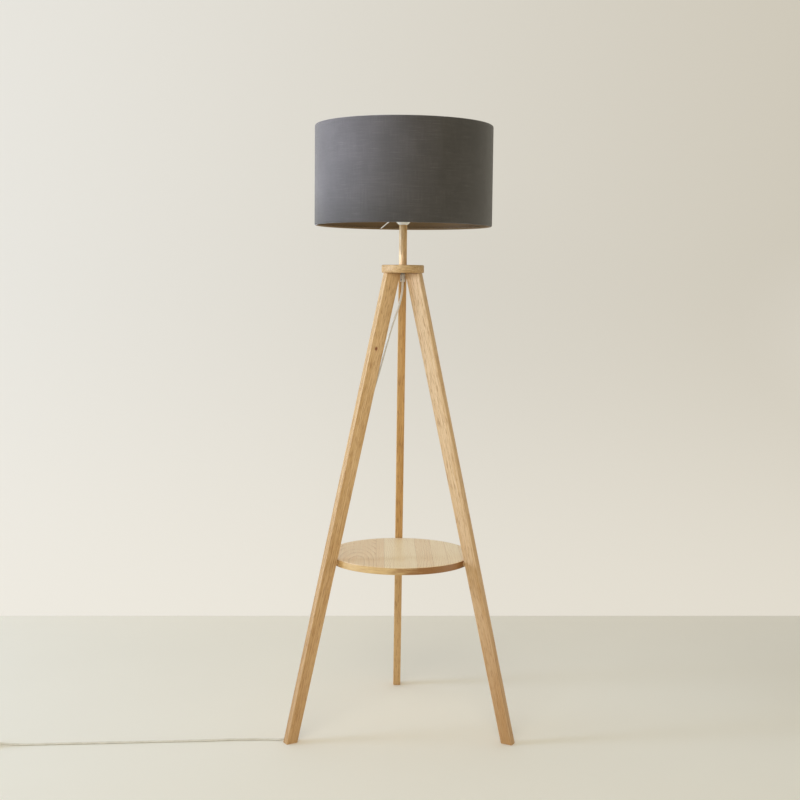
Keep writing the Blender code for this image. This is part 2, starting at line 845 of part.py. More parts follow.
core = turned(
    "lampholder_core",
    [
        (0.0, core_top),
        (holder_inner - GAP, core_top),
        (holder_inner - GAP, core_bottom),
        (0.0, core_bottom),
    ],
    white_plastic,
    24,
    closed=False,
)
shell_wall = SCREW_SHELL_RADIUS - SCREW_SHELL_WALL
screw_shell_bottom = core_top + GAP
turned(
    "lampholder_screw_shell",
    [
        (SCREW_SHELL_RADIUS, screw_shell_bottom + SCREW_SHELL_HEIGHT),
        (SCREW_SHELL_RADIUS, screw_shell_bottom),
        (shell_wall - 0.004, screw_shell_bottom),
        (shell_wall - 0.004, screw_shell_bottom + SCREW_SHELL_WALL),
        (shell_wall, screw_shell_bottom + SCREW_SHELL_WALL),
        (shell_wall, screw_shell_bottom + SCREW_SHELL_HEIGHT),
    ],
    brass,
    24,
)
contact_height = 0.0012
add(
    "lampholder_centre_contact",
    cylinder(0.0045, contact_height, 16),
    brass,
    location=(0, 0, core_top + GAP),
)

tip_bottom = core_top + contact_height + 2 * GAP
bulb_tip_top = tip_bottom + BULB_TIP_HEIGHT
turned(
    "bulb_tip",
    [
        (0.0, bulb_tip_top),
        (BULB_TIP_RADIUS, bulb_tip_top),
        (BULB_TIP_RADIUS - 0.0014, tip_bottom),
        (0.0, tip_bottom),
    ],
    nickel,
    16,
    closed=False,
    parent=bulb_axis,
)
cap_bottom = bulb_tip_top + GAP
cap_top = cap_bottom + BULB_CAP_HEIGHT
turned(
    "bulb_screw_cap",
    [
        (BULB_CAP_RADIUS, cap_top),
        (BULB_CAP_RADIUS, cap_bottom + 0.0040),
        (BULB_TIP_RADIUS, cap_bottom),
        (BULB_TIP_RADIUS - 0.0012, cap_bottom + 0.0008),
        (BULB_CAP_RADIUS - 0.0006, cap_bottom + 0.0046),
        (BULB_CAP_RADIUS - 0.0006, cap_top),
    ],
    nickel,
    24,
    parent=bulb_axis,
)
neck_bottom = cap_top + GAP
neck_top = neck_bottom + BULB_NECK_HEIGHT
turned(
    "bulb_neck",
    [
        (BULB_GLOBE_RADIUS - 0.0020, neck_top),
        (BULB_GLOBE_RADIUS - 0.0030, neck_top - 0.0040),
        (BULB_NECK_RADIUS + 0.0045, neck_bottom + 0.0110),
        (BULB_NECK_RADIUS, neck_bottom),
        (BULB_NECK_RADIUS - 0.0020, neck_bottom),
        (BULB_NECK_RADIUS + 0.0025, neck_bottom + 0.0115),
        (BULB_GLOBE_RADIUS - 0.0050, neck_top - 0.0035),
        (BULB_GLOBE_RADIUS - 0.0040, neck_top),
    ],
    white_plastic,
    parent=bulb_axis,
)
globe_bottom = neck_top + GAP
globe_steps = 9
globe_rise = BULB_GLOBE_HEIGHT - BULB_GLOBE_RADIUS


def globe_profile(radius, close_radius):
    """Half the outline of the globe: a dome over a body that narrows to the neck."""
    points = []
    for i in range(globe_steps + 1):
        angle = QUARTER * i / globe_steps
        points.append((radius * math.sin(angle), globe_rise + radius * math.cos(angle)))
    points.append((close_radius, 0.0))
    return points


globe_outer = globe_profile(BULB_GLOBE_RADIUS, BULB_GLOBE_RADIUS - 0.0020)
globe_inner = globe_profile(BULB_GLOBE_RADIUS - BULB_GLOBE_WALL, BULB_GLOBE_RADIUS - 0.0035)
turned(
    "bulb_globe",
    globe_outer + globe_inner[::-1],
    opal,
    closed=False,
    parent=bulb_axis,
    location=(0, 0, globe_bottom),
)


# ---------------------------------------------------------------- shade

fabric_inner = SHADE_RADIUS - FABRIC_THICKNESS
hem_inner = SHADE_RADIUS - HEM_DEPTH
shade_steps = 64
turned(
    "shade_cover",
    [
        (SHADE_RADIUS, SHADE_HEIGHT),
        (SHADE_RADIUS, 0.0),
        (hem_inner, 0.0),
        (hem_inner, FABRIC_THICKNESS),
        (fabric_inner, FABRIC_THICKNESS),
        (fabric_inner, SHADE_HEIGHT - FABRIC_THICKNESS),
        (hem_inner, SHADE_HEIGHT - FABRIC_THICKNESS),
        (hem_inner, SHADE_HEIGHT),
    ],
    linen,
    shade_steps,
    parent=shade_axis,
    location=(0, 0, shade_bottom),
)
liner_outer = fabric_inner - GAP
liner_inner = liner_outer - LINER_THICKNESS
liner_bottom = FABRIC_THICKNESS + GAP
liner_top = SHADE_HEIGHT - liner_bottom
turned(
    "shade_liner",
    [
        (liner_outer, liner_top),
        (liner_outer, liner_bottom),
        (liner_inner, liner_bottom),
        (liner_inner, liner_top),
    ],
    film,
    shade_steps,
    parent=shade_axis,
    location=(0, 0, shade_bottom),
)
wire_ring_radius = liner_inner - GAP - WIRE_RADIUS


def wire_ring(name, height):
    """A round wire hoop that stiffens one rim of the shade."""
    bpy.ops.mesh.primitive_torus_add(
        major_radius=wire_ring_radius,
        minor_radius=WIRE_RADIUS,
        major_segments=shade_steps,
        minor_segments=6,
        location=(0, 0, 0),
    )
    made = bpy.context.object
    made.name = name
    made.location = (0, 0, height)
    for group in list(made.users_collection):
        group.objects.unlink(made)
    lamp_parts.objects.link(made)
    made.parent = shade_axis
    made.data.materials.append(white_metal)
    made.data.shade_smooth()
    return made


wire_ring("shade_top_ring", shade_bottom + SHADE_HEIGHT - FABRIC_THICKNESS - GAP - WIRE_RADIUS)
carrier = wire_ring("shade_carrier", wire_height)
hub_inner = BARREL_RADIUS + TURNING_GAP
hub = turned(
    "carrier_hub",
    [
        (CARRIER_RING_RADIUS, CARRIER_THICKNESS),
        (CARRIER_RING_RADIUS, 0.0),
        (hub_inner, 0.0),
        (hub_inner, CARRIER_THICKNESS),
    ],
    white_metal,
    48,
    parent=shade_axis,
    location=(0, 0, carrier_bottom),
)
hub.hide_render = True
hub.display_type = "WIRE"
lamp_parts.objects.unlink(hub)
cutters.objects.link(hub)
boolean(carrier, hub, "UNION")
arm_start = Vector((CARRIER_RING_RADIUS - 0.002, 0, carrier_bottom + CARRIER_THICKNESS / 2))
arm_end = Vector((wire_ring_radius, 0, wire_height))
arm_run = arm_end - arm_start
arm_mesh = cylinder(ARM_RADIUS, arm_run.length, 8)
arm_mesh.transform(arm_run.to_track_quat("Z", "Y").to_matrix().to_4x4())
arm_mesh.transform(Matrix.Translation(arm_start))
for arm_index in range(3):
    arm_turn = math.radians(ARM_AZIMUTH + 120 * arm_index)
    arm = cutter("carrier_arm_" + str(arm_index), arm_mesh, shade_axis, rotation=(0, 0, arm_turn))
    boolean(carrier, arm, "UNION")

nut_bottom = carrier_bottom + CARRIER_THICKNESS + GAP
turned(
    "shade_nut",
    [
        (SHADE_NUT_RADIUS - 0.0010, SHADE_NUT_HEIGHT),
        (SHADE_NUT_RADIUS, SHADE_NUT_HEIGHT - 0.0010),
        (SHADE_NUT_RADIUS, 0.0),
        (BARREL_RADIUS + TURNING_GAP, 0.0),
        (BARREL_RADIUS + TURNING_GAP, SHADE_NUT_HEIGHT),
    ],
    white_plastic,
    location=(0, 0, nut_bottom),
)


# ---------------------------------------------------------------- flex, clips and coil


def make_clip(name, height):
    """A moulded cable clip on the leg's far face, with the nail that holds it."""
    where = leg_frames[CLIP_LEG]
    radius = inner_radius(height) + CLIP_FROM_EDGE
    face = LEG_THICKNESS / 2
    lift = FLEX_RADIUS + 0.0005  # of the flex's middle over the leg's face
    low = GAP
    high = lift + FLEX_RADIUS + GAP + CLIP_WALL
    left = -FLEX_RADIUS - GAP - CLIP_WALL
    right = CLIP_NAIL_OFFSET + NAIL_HEAD_RADIUS + 0.001
    base = frame("clip_frame_" + name, where, (radius, height, face), (0, 0, inner_slope))
    body = add(
        "cord_clip_" + name,
        block((right - left, CLIP_LENGTH, high - low), ((left + right) / 2, 0, (low + high) / 2)),
        white_plastic,
        base,
    )
    rounded(body, 0.0008)
    channel = cutter(
        "clip_channel_" + name,
        cylinder(FLEX_RADIUS + GAP, CLIP_LENGTH + 0.004, 12),
        base,
        (0, -CLIP_LENGTH / 2 - 0.002, lift),
        ALONG_Y,
    )
    mouth = cutter(
        "clip_mouth_" + name,
        block((2 * (FLEX_RADIUS + GAP), CLIP_LENGTH + 0.004, lift + 0.002), (0, 0, lift / 2 - 0.001)),
        base,
    )
    boolean(body, channel)
    boolean(body, mouth)
    nail_hole = cutter(
        "nail_hole_" + name,
        cylinder(NAIL_RADIUS + GAP, high + NAIL_DEPTH + 0.003, 10),
        base,
        (CLIP_NAIL_OFFSET, 0, -NAIL_DEPTH - 0.001),
    )
    boolean(body, nail_hole)
    boolean(legs[CLIP_LEG], nail_hole)
    nail_profile = [
        (0.0, high + GAP + NAIL_HEAD_THICKNESS),
        (NAIL_HEAD_RADIUS, high + GAP + NAIL_HEAD_THICKNESS),
        (NAIL_HEAD_RADIUS, high + GAP),
        (NAIL_RADIUS, high + GAP),
        (NAIL_RADIUS, -NAIL_DEPTH + 0.002),
        (0.0, -NAIL_DEPTH),
    ]
    turned(
        "clip_nail_" + name,
        nail_profile,
        steel,
        10,
        closed=False,
        parent=base,
        location=(CLIP_NAIL_OFFSET, 0, 0),
    )


for clip_name, clip_height in CLIP_HEIGHTS.items():
    make_clip(clip_name, clip_height)

add(
    "flex_riser",
    cylinder(FLEX_RADIUS, tube_top + 0.004 - grip_bottom, 12),
    flex_plastic,
    location=(0, 0, grip_bottom + 0.0004),
)
tube("flex_to_switch", smooth_line(ROUTE_TO_SWITCH, 80), FLEX_RADIUS, flex_plastic)
tube("flex_to_coil", smooth_line(ROUTE_TO_COIL, 9), FLEX_RADIUS, flex_plastic)
tube("flex_to_plug", smooth_line(ROUTE_TO_PLUG, 4), FLEX_RADIUS, flex_plastic)
turned(
    "flex_coil",
    [
        (COIL_OUTER, COIL_HEIGHT),
        (COIL_OUTER, 0.0002),
        (COIL_INNER, 0.0002),
        (COIL_INNER, COIL_HEIGHT),
    ],
    flex_plastic,
    36,
    location=(*COIL_CENTRE, 0),
)


# ---------------------------------------------------------------- foot switch


def round_top(mesh, radius, segments):
    """Rounds the edges round the top face of a flat mesh."""
    shape = bmesh.new()
    shape.from_mesh(mesh)
    top = max(vert.co.z for vert in shape.verts)
    edges = [edge for edge in shape.edges if all(top - v.co.z < 1e-6 for v in edge.verts)]
    edges = [edge for edge in edges if edge.calc_face_angle(0) > 0.5]
    bmesh.ops.bevel(
        shape, geom=edges, offset=radius, segments=segments, profile=0.5, affect="EDGES"
    )
    shape.to_mesh(mesh)
    shape.free()
    return mesh


pocket_length = SWITCH_LENGTH - 2 * SWITCH_WALL
pocket_width = SWITCH_WIDTH - 2 * SWITCH_WALL
cover_bottom = SWITCH_SPLIT + GAP
cover_height = SWITCH_HEIGHT - cover_bottom
cover_ceiling = SWITCH_HEIGHT - SWITCH_WALL

switch_base = add(
    "switch_base",
    plate(stadium(SWITCH_LENGTH, SWITCH_WIDTH), SWITCH_SPLIT - 0.0002),
    white_plastic,
    switch_frame,
    (0, 0, SWITCH_SPLIT / 2 + 0.0001),
)
base_pocket = cutter(
    "base_pocket",
    plate(stadium(pocket_length, pocket_width), SWITCH_SPLIT),
    switch_frame,
    (0, 0, SWITCH_WALL + SWITCH_SPLIT / 2),
)
boolean(switch_base, base_pocket)
switch_cover = add(
    "switch_cover",
    round_top(plate(stadium(SWITCH_LENGTH, SWITCH_WIDTH), cover_height), SWITCH_ROUNDING, 3),
    white_plastic,
    switch_frame,
    (0, 0, cover_bottom + cover_height / 2),
)
pocket_top = cover_ceiling - cover_bottom
cover_pocket = cutter(
    "cover_pocket",
    round_top(
        plate(stadium(pocket_length, pocket_width), pocket_top + 0.002),
        SWITCH_ROUNDING - SWITCH_WALL,
        2,
    ),
    switch_frame,
    (0, 0, cover_bottom + pocket_top / 2 - 0.001),
)
boolean(switch_cover, cover_pocket)
button_hole = cutter(
    "button_hole",
    cylinder(BUTTON_RADIUS + SLIDING_GAP, 0.01, 32),
    switch_frame,
    (0, 0, cover_ceiling - 0.004),
)
boolean(switch_cover, button_hole)
cord_holes = cutter(
    "switch_cord_holes",
    cylinder(FLEX_RADIUS + GAP, SWITCH_LENGTH + 0.02, 12),
    switch_frame,
    (-SWITCH_LENGTH / 2 - 0.01, 0, SWITCH_SPLIT),
    ALONG_X,
)
boolean(switch_base, cord_holes)
boolean(switch_cover, cord_holes)

for screw_name, screw_side in (("lamp_side", 1), ("plug_side", -1)):
    screw_at = (screw_side * SWITCH_SCREW_OFFSET, 0.013 * screw_side, 0)
    post = cutter(
        "switch_post_" + screw_name,
        cylinder(SWITCH_SCREW_RADIUS + 0.0020, cover_ceiling + 0.0005 - cover_bottom, 12),
        switch_frame,
        (screw_at[0], screw_at[1], cover_bottom),
    )
    boolean(switch_cover, post, "UNION")
    pilot = cutter(
        "switch_pilot_" + screw_name,
        cylinder(SWITCH_SCREW_RADIUS + GAP, SWITCH_SCREW_LENGTH + 0.0015, 12),
        switch_frame,
        (screw_at[0], screw_at[1], -0.0005),
    )
    boolean(switch_base, pilot)
    boolean(switch_cover, pilot)
    recess = cutter(
        "switch_recess_" + screw_name,
        cylinder(
            SWITCH_SCREW_HEAD + 0.0012,
            0.0034,
            12,
            SWITCH_SCREW_RADIUS + GAP,
        ),
        switch_frame,
        (screw_at[0], screw_at[1], -0.0005),
    )
    boolean(switch_base, recess)
    add(
        "switch_screw_" + screw_name,
        screw_mesh(SWITCH_SCREW_LENGTH, SWITCH_SCREW_RADIUS, SWITCH_SCREW_HEAD, 0.0018, 12),
        steel,
        switch_frame,
        (screw_at[0], screw_at[1], 0.0003),
        (math.pi, 0, 0),
    )

flange_top = cover_ceiling - GAP
turned(
    "switch_button",
    [
        (0.0, SWITCH_HEIGHT + BUTTON_RISE),
        (BUTTON_RADIUS * 0.55, SWITCH_HEIGHT + BUTTON_RISE - 0.0004),
        (BUTTON_RADIUS - 0.0012, SWITCH_HEIGHT + BUTTON_RISE - 0.0013),
        (BUTTON_RADIUS, SWITCH_HEIGHT + BUTTON_RISE - 0.0026),
        (BUTTON_RADIUS, flange_top),
        (BUTTON_RADIUS + 0.0018, flange_top),
        (BUTTON_RADIUS + 0.0018, flange_top - BUTTON_FLANGE),
        (0.0030, flange_top - BUTTON_FLANGE),
        (0.0030, flange_top - 0.0050),
        (0.0, flange_top - 0.0050),
    ],
    white_plastic,
    28,
    closed=False,
    parent=switch_frame,
)
bridge_top = flange_top - 0.0050 - GAP
add(
    "switch_bridge",
    block((0.0050, BRIDGE_LENGTH, 0.0008), (0, 0, bridge_top - 0.0004)),
    brass,
    switch_frame,
)


# ---------------------------------------------------------------- plug

body_start = PLUG_RELIEF_LENGTH - 0.001
plug_body = add(
    "plug_body",
    block(PLUG_BODY, (0, body_start + PLUG_BODY[1] / 2, 0)),
    white_plastic,
    plug_frame,
)
rounded(plug_body, PLUG_ROUNDING, 3)
relief = cutter(
    "plug_relief",
    cylinder(0.0042, PLUG_RELIEF_LENGTH + 0.004, 16, 0.0062),
    plug_frame,
    rotation=ALONG_Y,
)
boolean(plug_body, relief, "UNION")
body_end = body_start + PLUG_BODY[1]
for pin_name, pin_side in (("left", -1), ("right", 1)):
    pin_x = pin_side * PIN_SPACING / 2
    pin_hole = cutter(
        "pin_hole_" + pin_name,
        cylinder(PIN_RADIUS + GAP, PIN_ROOT + 0.004, 16),
        plug_frame,
        (pin_x, body_end - PIN_ROOT, 0),
        ALONG_Y,
    )
    boolean(plug_body, pin_hole)
    pin = add(
        "plug_pin_" + pin_name,
        cylinder(PIN_RADIUS, PIN_LENGTH + PIN_ROOT - GAP, 16),
        nickel,
        plug_frame,
        (pin_x, body_end - PIN_ROOT + GAP, 0),
        ALONG_Y,
    )
    rounded(pin, 0.0005)
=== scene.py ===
"""Looks of a tripod floor lamp: wood, linen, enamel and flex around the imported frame.

Metres, +Z up, the front faces -Y. Each sub-assembly is a class that works out its surfaces with
numpy and dresses them in its finishes. "Axis" is the lamp's own upright line, which stands at
x = 0, y = AXIS_Y.
"""

from __future__ import annotations

import logging
import math
from dataclasses import dataclass, field
from enum import Enum
from typing import Any

import bmesh
import bpy
import numpy as np
from mathutils import Matrix, Vector

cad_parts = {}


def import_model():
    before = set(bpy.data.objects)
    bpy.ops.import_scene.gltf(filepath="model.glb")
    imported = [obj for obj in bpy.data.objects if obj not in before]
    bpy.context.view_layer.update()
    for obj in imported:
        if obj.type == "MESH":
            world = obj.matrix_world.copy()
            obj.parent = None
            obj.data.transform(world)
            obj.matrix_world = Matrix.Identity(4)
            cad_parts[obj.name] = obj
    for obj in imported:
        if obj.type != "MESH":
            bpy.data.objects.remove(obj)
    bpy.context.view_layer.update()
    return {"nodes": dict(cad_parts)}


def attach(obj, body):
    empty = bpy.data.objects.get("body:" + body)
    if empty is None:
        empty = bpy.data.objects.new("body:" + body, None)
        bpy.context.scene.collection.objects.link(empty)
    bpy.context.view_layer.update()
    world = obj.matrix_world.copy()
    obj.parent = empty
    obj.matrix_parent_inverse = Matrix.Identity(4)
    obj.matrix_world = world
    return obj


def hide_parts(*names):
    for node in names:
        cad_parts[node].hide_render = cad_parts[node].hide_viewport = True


log = logging.getLogger("tripod_floor_lamp")

AXIS_Y = -0.05295
MERGE_DISTANCE = 2e-6
Number = "Sock | float"
Colour = tuple[float, float, float]


def srgb(red: float, green: float, blue: float) -> Colour:
    """A colour from 0 to 255 values as it looks, in the linear values that shaders take.

    Args:
        red: Red, from 0 to 255.
        green: Green, from 0 to 255.
        blue: Blue, from 0 to 255.

    Returns:
        The linear colour.
    """
    made = []
    for part in (red, green, blue):
        share = part / 255
        made.append(share / 12.92 if share <= 0.04045 else ((share + 0.055) / 1.055) ** 2.4)
    return (made[0], made[1], made[2])


# ---------------------------------------------------------------- surfaces


@dataclass
class Patch:
    """A grid of points with flat coordinates in metres for its pattern.

    Rows or columns that close meet their first one again. The flat coordinates then have one
    more row or column, so that the pattern doesn't run backwards across the join.
    """

    points: np.ndarray
    flat: np.ndarray
    close_rows: bool = False
    close_columns: bool = False
    worn: np.ndarray | None = None

    def corners(self) -> tuple[np.ndarray, np.ndarray]:
        """The lowest row and column of every face.

        Returns:
            The rows and the columns, one of each for a face.
        """
        rows, columns = self.points.shape[:2]
        i, j = np.meshgrid(
            np.arange(rows - 1 + self.close_rows),
            np.arange(columns - 1 + self.close_columns),
            indexing="ij",
        )
        return i.ravel(), j.ravel()

    def faces(self, offset: int = 0) -> np.ndarray:
        """The four point numbers of every face.

        Args:
            offset: How many points stand before this patch in the mesh.

        Returns:
            One row of four numbers for each face.
        """
        rows, columns = self.points.shape[:2]
        i, j = self.corners()
        around = ((i, j), (i + 1, j), (i + 1, j + 1), (i, j + 1))
        return np.stack([(a % rows) * columns + b % columns for a, b in around], axis=1) + offset

    def loops(self) -> np.ndarray:
        """The flat coordinates of every face's four corners.

        Returns:
            Four pairs for every face, one after the other.
        """
        i, j = self.corners()
        around = ((i, j), (i + 1, j), (i + 1, j + 1), (i, j + 1))
        return np.stack([self.flat[a, b] for a, b in around], axis=1).reshape(-1, 2)


def added(name: str, data: bpy.types.ID) -> bpy.types.Object:
    """A new object around its data, linked to the scene.

    Args:
        name: The object's name.
        data: Its mesh, light or camera.

    Returns:
        The object.
    """
    made = bpy.data.objects.new(name, data)
    bpy.context.scene.collection.objects.link(made)
    return made


def grid(rows: np.ndarray, columns: np.ndarray) -> np.ndarray:
    """The pair (row value, column value) at every place of a grid."""
    return np.stack(np.meshgrid(rows, columns, indexing="ij"), axis=2)


def mesh_of(name: str, patches: list[Patch], sharp: float = 35.0) -> bpy.types.Object:
    """Joins patches into one closed mesh object at the origin.

    Args:
        name: The object's name.
        patches: The grids; points that fall together are merged, which closes the poles.
        sharp: The angle in degrees past which an edge stays crisp.

    Returns:
        The new object, linked to the scene.
    """
    mesh = bpy.data.meshes.new(name)
    offset, points, faces, flat, worn = 0, [], [], [], []
    for patch in patches:
        faces.append(patch.faces(offset))
        flat.append(patch.loops())
        points.append(patch.points.reshape(-1, 3))
        count = len(points[-1])
        worn.append(np.zeros(count) if patch.worn is None else patch.worn.ravel())
        offset += count
    mesh.from_pydata(np.concatenate(points).tolist(), [], np.concatenate(faces).tolist())
    layer = mesh.uv_layers.new(name="flat")
    layer.data.foreach_set("uv", np.concatenate(flat).astype(np.float32).ravel())
    wear = mesh.attributes.new("worn", "FLOAT", "POINT")
    wear.data.foreach_set("value", np.concatenate(worn).astype(np.float32))
    shape = bmesh.new()
    shape.from_mesh(mesh)
    bmesh.ops.remove_doubles(shape, verts=shape.verts, dist=MERGE_DISTANCE)
    bmesh.ops.recalc_face_normals(shape, faces=shape.faces)
    shape.to_mesh(mesh)
    shape.free()
    mesh.shade_smooth()
    mesh.set_sharp_from_angle(angle=math.radians(sharp))
    return added(name, mesh)


def arc(
    centre: tuple[float, float], radius: float, start: float, end: float, count: int
) -> np.ndarray:
    """Points on a circle's arc: centre plus radius times (cosine, sine) of the angle.

    Args:
        centre: The circle's centre in the profile's plane.
        radius: Its radius.
        start: The first angle in degrees.
        end: The last angle in degrees.
        count: How many points.

    Returns:
        An array of (across, up) points.
    """
    turn = np.radians(np.linspace(start, end, count))
    return np.stack([centre[0] + radius * np.cos(turn), centre[1] + radius * np.sin(turn)], axis=1)


def profile_of(*pieces: Any) -> np.ndarray:
    """One profile from single (across, up) points and arrays of them, in order."""
    return np.concatenate([np.atleast_2d(np.asarray(piece, float)) for piece in pieces])


def upright(radius: float, low: float, high: float, count: int) -> np.ndarray:
    """Profile points straight up at one radius."""
    return np.stack([np.full(count, radius), np.linspace(low, high, count)], axis=1)


def lathe(
    profile: np.ndarray,
    steps: int = 64,
    closed: bool = False,
    ripple: np.ndarray | None = None,
    centre: tuple[float, float] = (0.0, AXIS_Y),
) -> Patch:
    """A surface of revolution: (r cos a, r sin a, z) for each profile point and each angle.

    Args:
        profile: (radius, height) points; a radius of 0 at an end closes it.
        steps: How many angles.
        closed: Whether the profile is a ring.
        ripple: What to add to the radius, for each angle and profile point.
        centre: Where the axis stands.

    Returns:
        The surface, with flat coordinates (way round, way along the profile).
    """
    angle = np.linspace(0, 2 * np.pi, steps, endpoint=False)
    radius = np.broadcast_to(profile[:, 0], (steps, len(profile)))
    if ripple is not None:
        radius = radius + ripple
    points = np.stack(
        [
            centre[0] + radius * np.cos(angle)[:, None],
            centre[1] + radius * np.sin(angle)[:, None],
            np.broadcast_to(profile[:, 1], radius.shape),
        ],
        axis=2,
    )
    ring = np.concatenate([profile, profile[:1]]) if closed else profile
    way_round = np.linspace(0, 2 * np.pi, steps + 1) * float(profile[:, 0].max())
    flat = grid(way_round, run_of(ring))
    return Patch(points, flat, True, closed)


def unit(vectors: np.ndarray) -> np.ndarray:
    """The vectors at length 1."""
    return vectors / np.linalg.norm(vectors, axis=-1, keepdims=True)


def run_of(path: np.ndarray) -> np.ndarray:
    """How far along its path each point lies."""
    return np.concatenate([[0.0], np.cumsum(np.linalg.norm(np.diff(path, axis=0), axis=1))])


def tube(path: np.ndarray, radii: Any, sides: int = 12, up: Colour = (0, 0, 1)) -> Patch:
    """A round tube: path + radius (side cos a + top sin a), with both ends closed.

    Args:
        path: The middle line's points.
        radii: One radius, or one for each point.
        sides: How many points round the tube.
        up: A direction that the path never runs along.

    Returns:
        The surface, with flat coordinates (way along, way round).
    """
    radii = np.broadcast_to(np.asarray(radii, float), (len(path),))
    tangent = unit(np.gradient(path, axis=0))
    side = unit(np.cross(tangent, np.asarray(up, float)))
    top = np.cross(side, tangent)
    angle = np.linspace(0, 2 * np.pi, sides, endpoint=False)
    ring = (
        side[:, None] * np.cos(angle)[None, :, None] + top[:, None] * np.sin(angle)[None, :, None]
    )
    points = path[:, None] + ring * radii[:, None, None]
    ends = [np.repeat(path[k][None, None], sides, axis=1) for k in (0, -1)]
    points = np.concatenate([ends[0], points, ends[1]])
    run = run_of(path)
    run = np.concatenate([[run[0]], run, [run[-1]]])
    way_round = np.linspace(0, 2 * np.pi, sides + 1) * float(radii.max())
    flat = grid(run, way_round)
    return Patch(points, flat, False, True)


def rounded_oblong(half_x: Any, half_y: Any, corner: Any, steps: int = 6) -> np.ndarray:
    """Outlines of oblongs with round corners, one for each value of the sizes.

    Each corner is the quarter circle (half size - corner) + corner (cosine, sine).

    Args:
        half_x: Half the width, one or an array.
        half_y: Half the depth, one or an array.
        corner: The corners' radius, one or an array.
        steps: How many points on each corner.

    Returns:
        An array of outlines, each an array of (x, y) points.
    """
    half_x, half_y, corner = (
        np.atleast_1d(np.asarray(a, float))[:, None] for a in (half_x, half_y, corner)
    )
    turn = np.radians(np.linspace(0, 90, steps)[None, :] + 90 * np.arange(4)[:, None]).ravel()
    sign_x = np.repeat([1, -1, -1, 1], steps)[None]
    sign_y = np.repeat([1, 1, -1, -1], steps)[None]
    x = sign_x * (half_x - corner) + corner * np.cos(turn)[None]
    y = sign_y * (half_y - corner) + corner * np.sin(turn)[None]
    return np.stack([x, y], axis=2)


def loft(rings: np.ndarray, worn: np.ndarray | None = None) -> Patch:
    """A skin through closed outlines, with the first and last drawn in to their middles.

    Args:
        rings: Outlines of equal length, (rows, columns, 3).
        worn: How worn each point is, (rows, columns).

    Returns:
        The surface, with flat coordinates (way along, way round).
    """
    columns = rings.shape[1]
    ends = [np.repeat(rings[k].mean(axis=0)[None, None], columns, axis=1) for k in (0, -1)]
    points = np.concatenate([ends[0], rings, ends[1]])
    run = run_of(points[:, 0])
    loop = np.concatenate([rings[len(rings) // 2], rings[len(rings) // 2][:1]])
    flat = grid(run, run_of(loop))
    if worn is not None:
        worn = np.concatenate([worn[:1], worn, worn[-1:]])
    return Patch(points, flat, False, True, worn)


def smooth_path(route: list[tuple[float, float, float]], step: float) -> np.ndarray:
    """Evenly spaced points on a curve through a route given from the lamp's axis.

    Between two points the curve is the cubic whose slopes there come from the neighbours, each
    weighed by the square root of its distance, so that close points make no loops.

    Args:
        route: The points, from the axis.
        step: How far apart the new points are.

    Returns:
        The points in the frame.
    """
    knots = np.asarray(route, float) + np.array([0.0, AXIS_Y, 0.0])
    knots = np.concatenate([2 * knots[:1] - knots[1:2], knots, 2 * knots[-1:] - knots[-2:-1]])
    a, b, c, d = knots[:-3], knots[1:-2], knots[2:-1], knots[3:]
    first, middle, last = (
        np.linalg.norm(q - p, axis=1, keepdims=True) ** 0.5 for p, q in ((a, b), (b, c), (c, d))
    )
    leave = (b - a) / first - (c - a) / (first + middle) + (c - b) / middle
    arrive = (c - b) / middle - (d - b) / (middle + last) + (d - c) / last
    t = np.linspace(0, 1, 40, endpoint=False)[None, :, None]
    a, b, c, leave, arrive, middle = (v[:, None] for v in (a, b, c, leave, arrive, middle))
    fine = (
        b * (2 * t**3 - 3 * t**2 + 1)
        + c * (3 * t**2 - 2 * t**3)
        + leave * middle * (t**3 - 2 * t**2 + t)
        + arrive * middle * (t**3 - t**2)
    ).reshape(-1, 3)
    return evenly(np.concatenate([fine, knots[-2:-1]]), step)


def evenly(path: np.ndarray, step: float) -> np.ndarray:
    """The same line with its points a step apart.

    Args:
        path: The line, as rows of x, y and z.
        step: The distance between two points.

    Returns:
        The new line.
    """
    run = run_of(path)
    wanted = np.linspace(0, run[-1], max(int(run[-1] / step), 3))
    return np.stack([np.interp(wanted, run, path[:, k]) for k in range(3)], axis=1)


# ---------------------------------------------------------------- shader graphs


class Sock:
    """An output of a shader node that can be used in sums."""

    def __init__(self, graph: Graph, socket: bpy.types.NodeSocket) -> None:
        """Wraps one output socket of a graph."""
        self.graph = graph
        self.socket = socket

    def __add__(self, other: Number) -> Sock:
        """Sum."""
        return self.graph.math("ADD", self, other)

    def __sub__(self, other: Number) -> Sock:
        """Difference."""
        return self.graph.math("SUBTRACT", self, other)

    def __mul__(self, other: Number) -> Sock:
        """Product."""
        return self.graph.math("MULTIPLY", self, other)

    def __truediv__(self, other: Number) -> Sock:
        """Quotient."""
        return self.graph.math("DIVIDE", self, other)

    def __pow__(self, other: Number) -> Sock:
        """Power."""
        return self.graph.math("POWER", self, other)

    def __radd__(self, other: float) -> Sock:
        """Sum with a number first."""
        return self.graph.math("ADD", other, self)

    def __rsub__(self, other: float) -> Sock:
        """Number less this."""
        return self.graph.math("SUBTRACT", other, self)

    def __rmul__(self, other: float) -> Sock:
        """Product with a number first."""
        return self.graph.math("MULTIPLY", other, self)

    def __gt__(self, other: Number) -> Sock:
        """1 where this is more, else 0."""
        return self.graph.math("GREATER_THAN", self, other)

    def __abs__(self) -> Sock:
        """Size without sign."""
        return self.graph.math("ABSOLUTE", self)


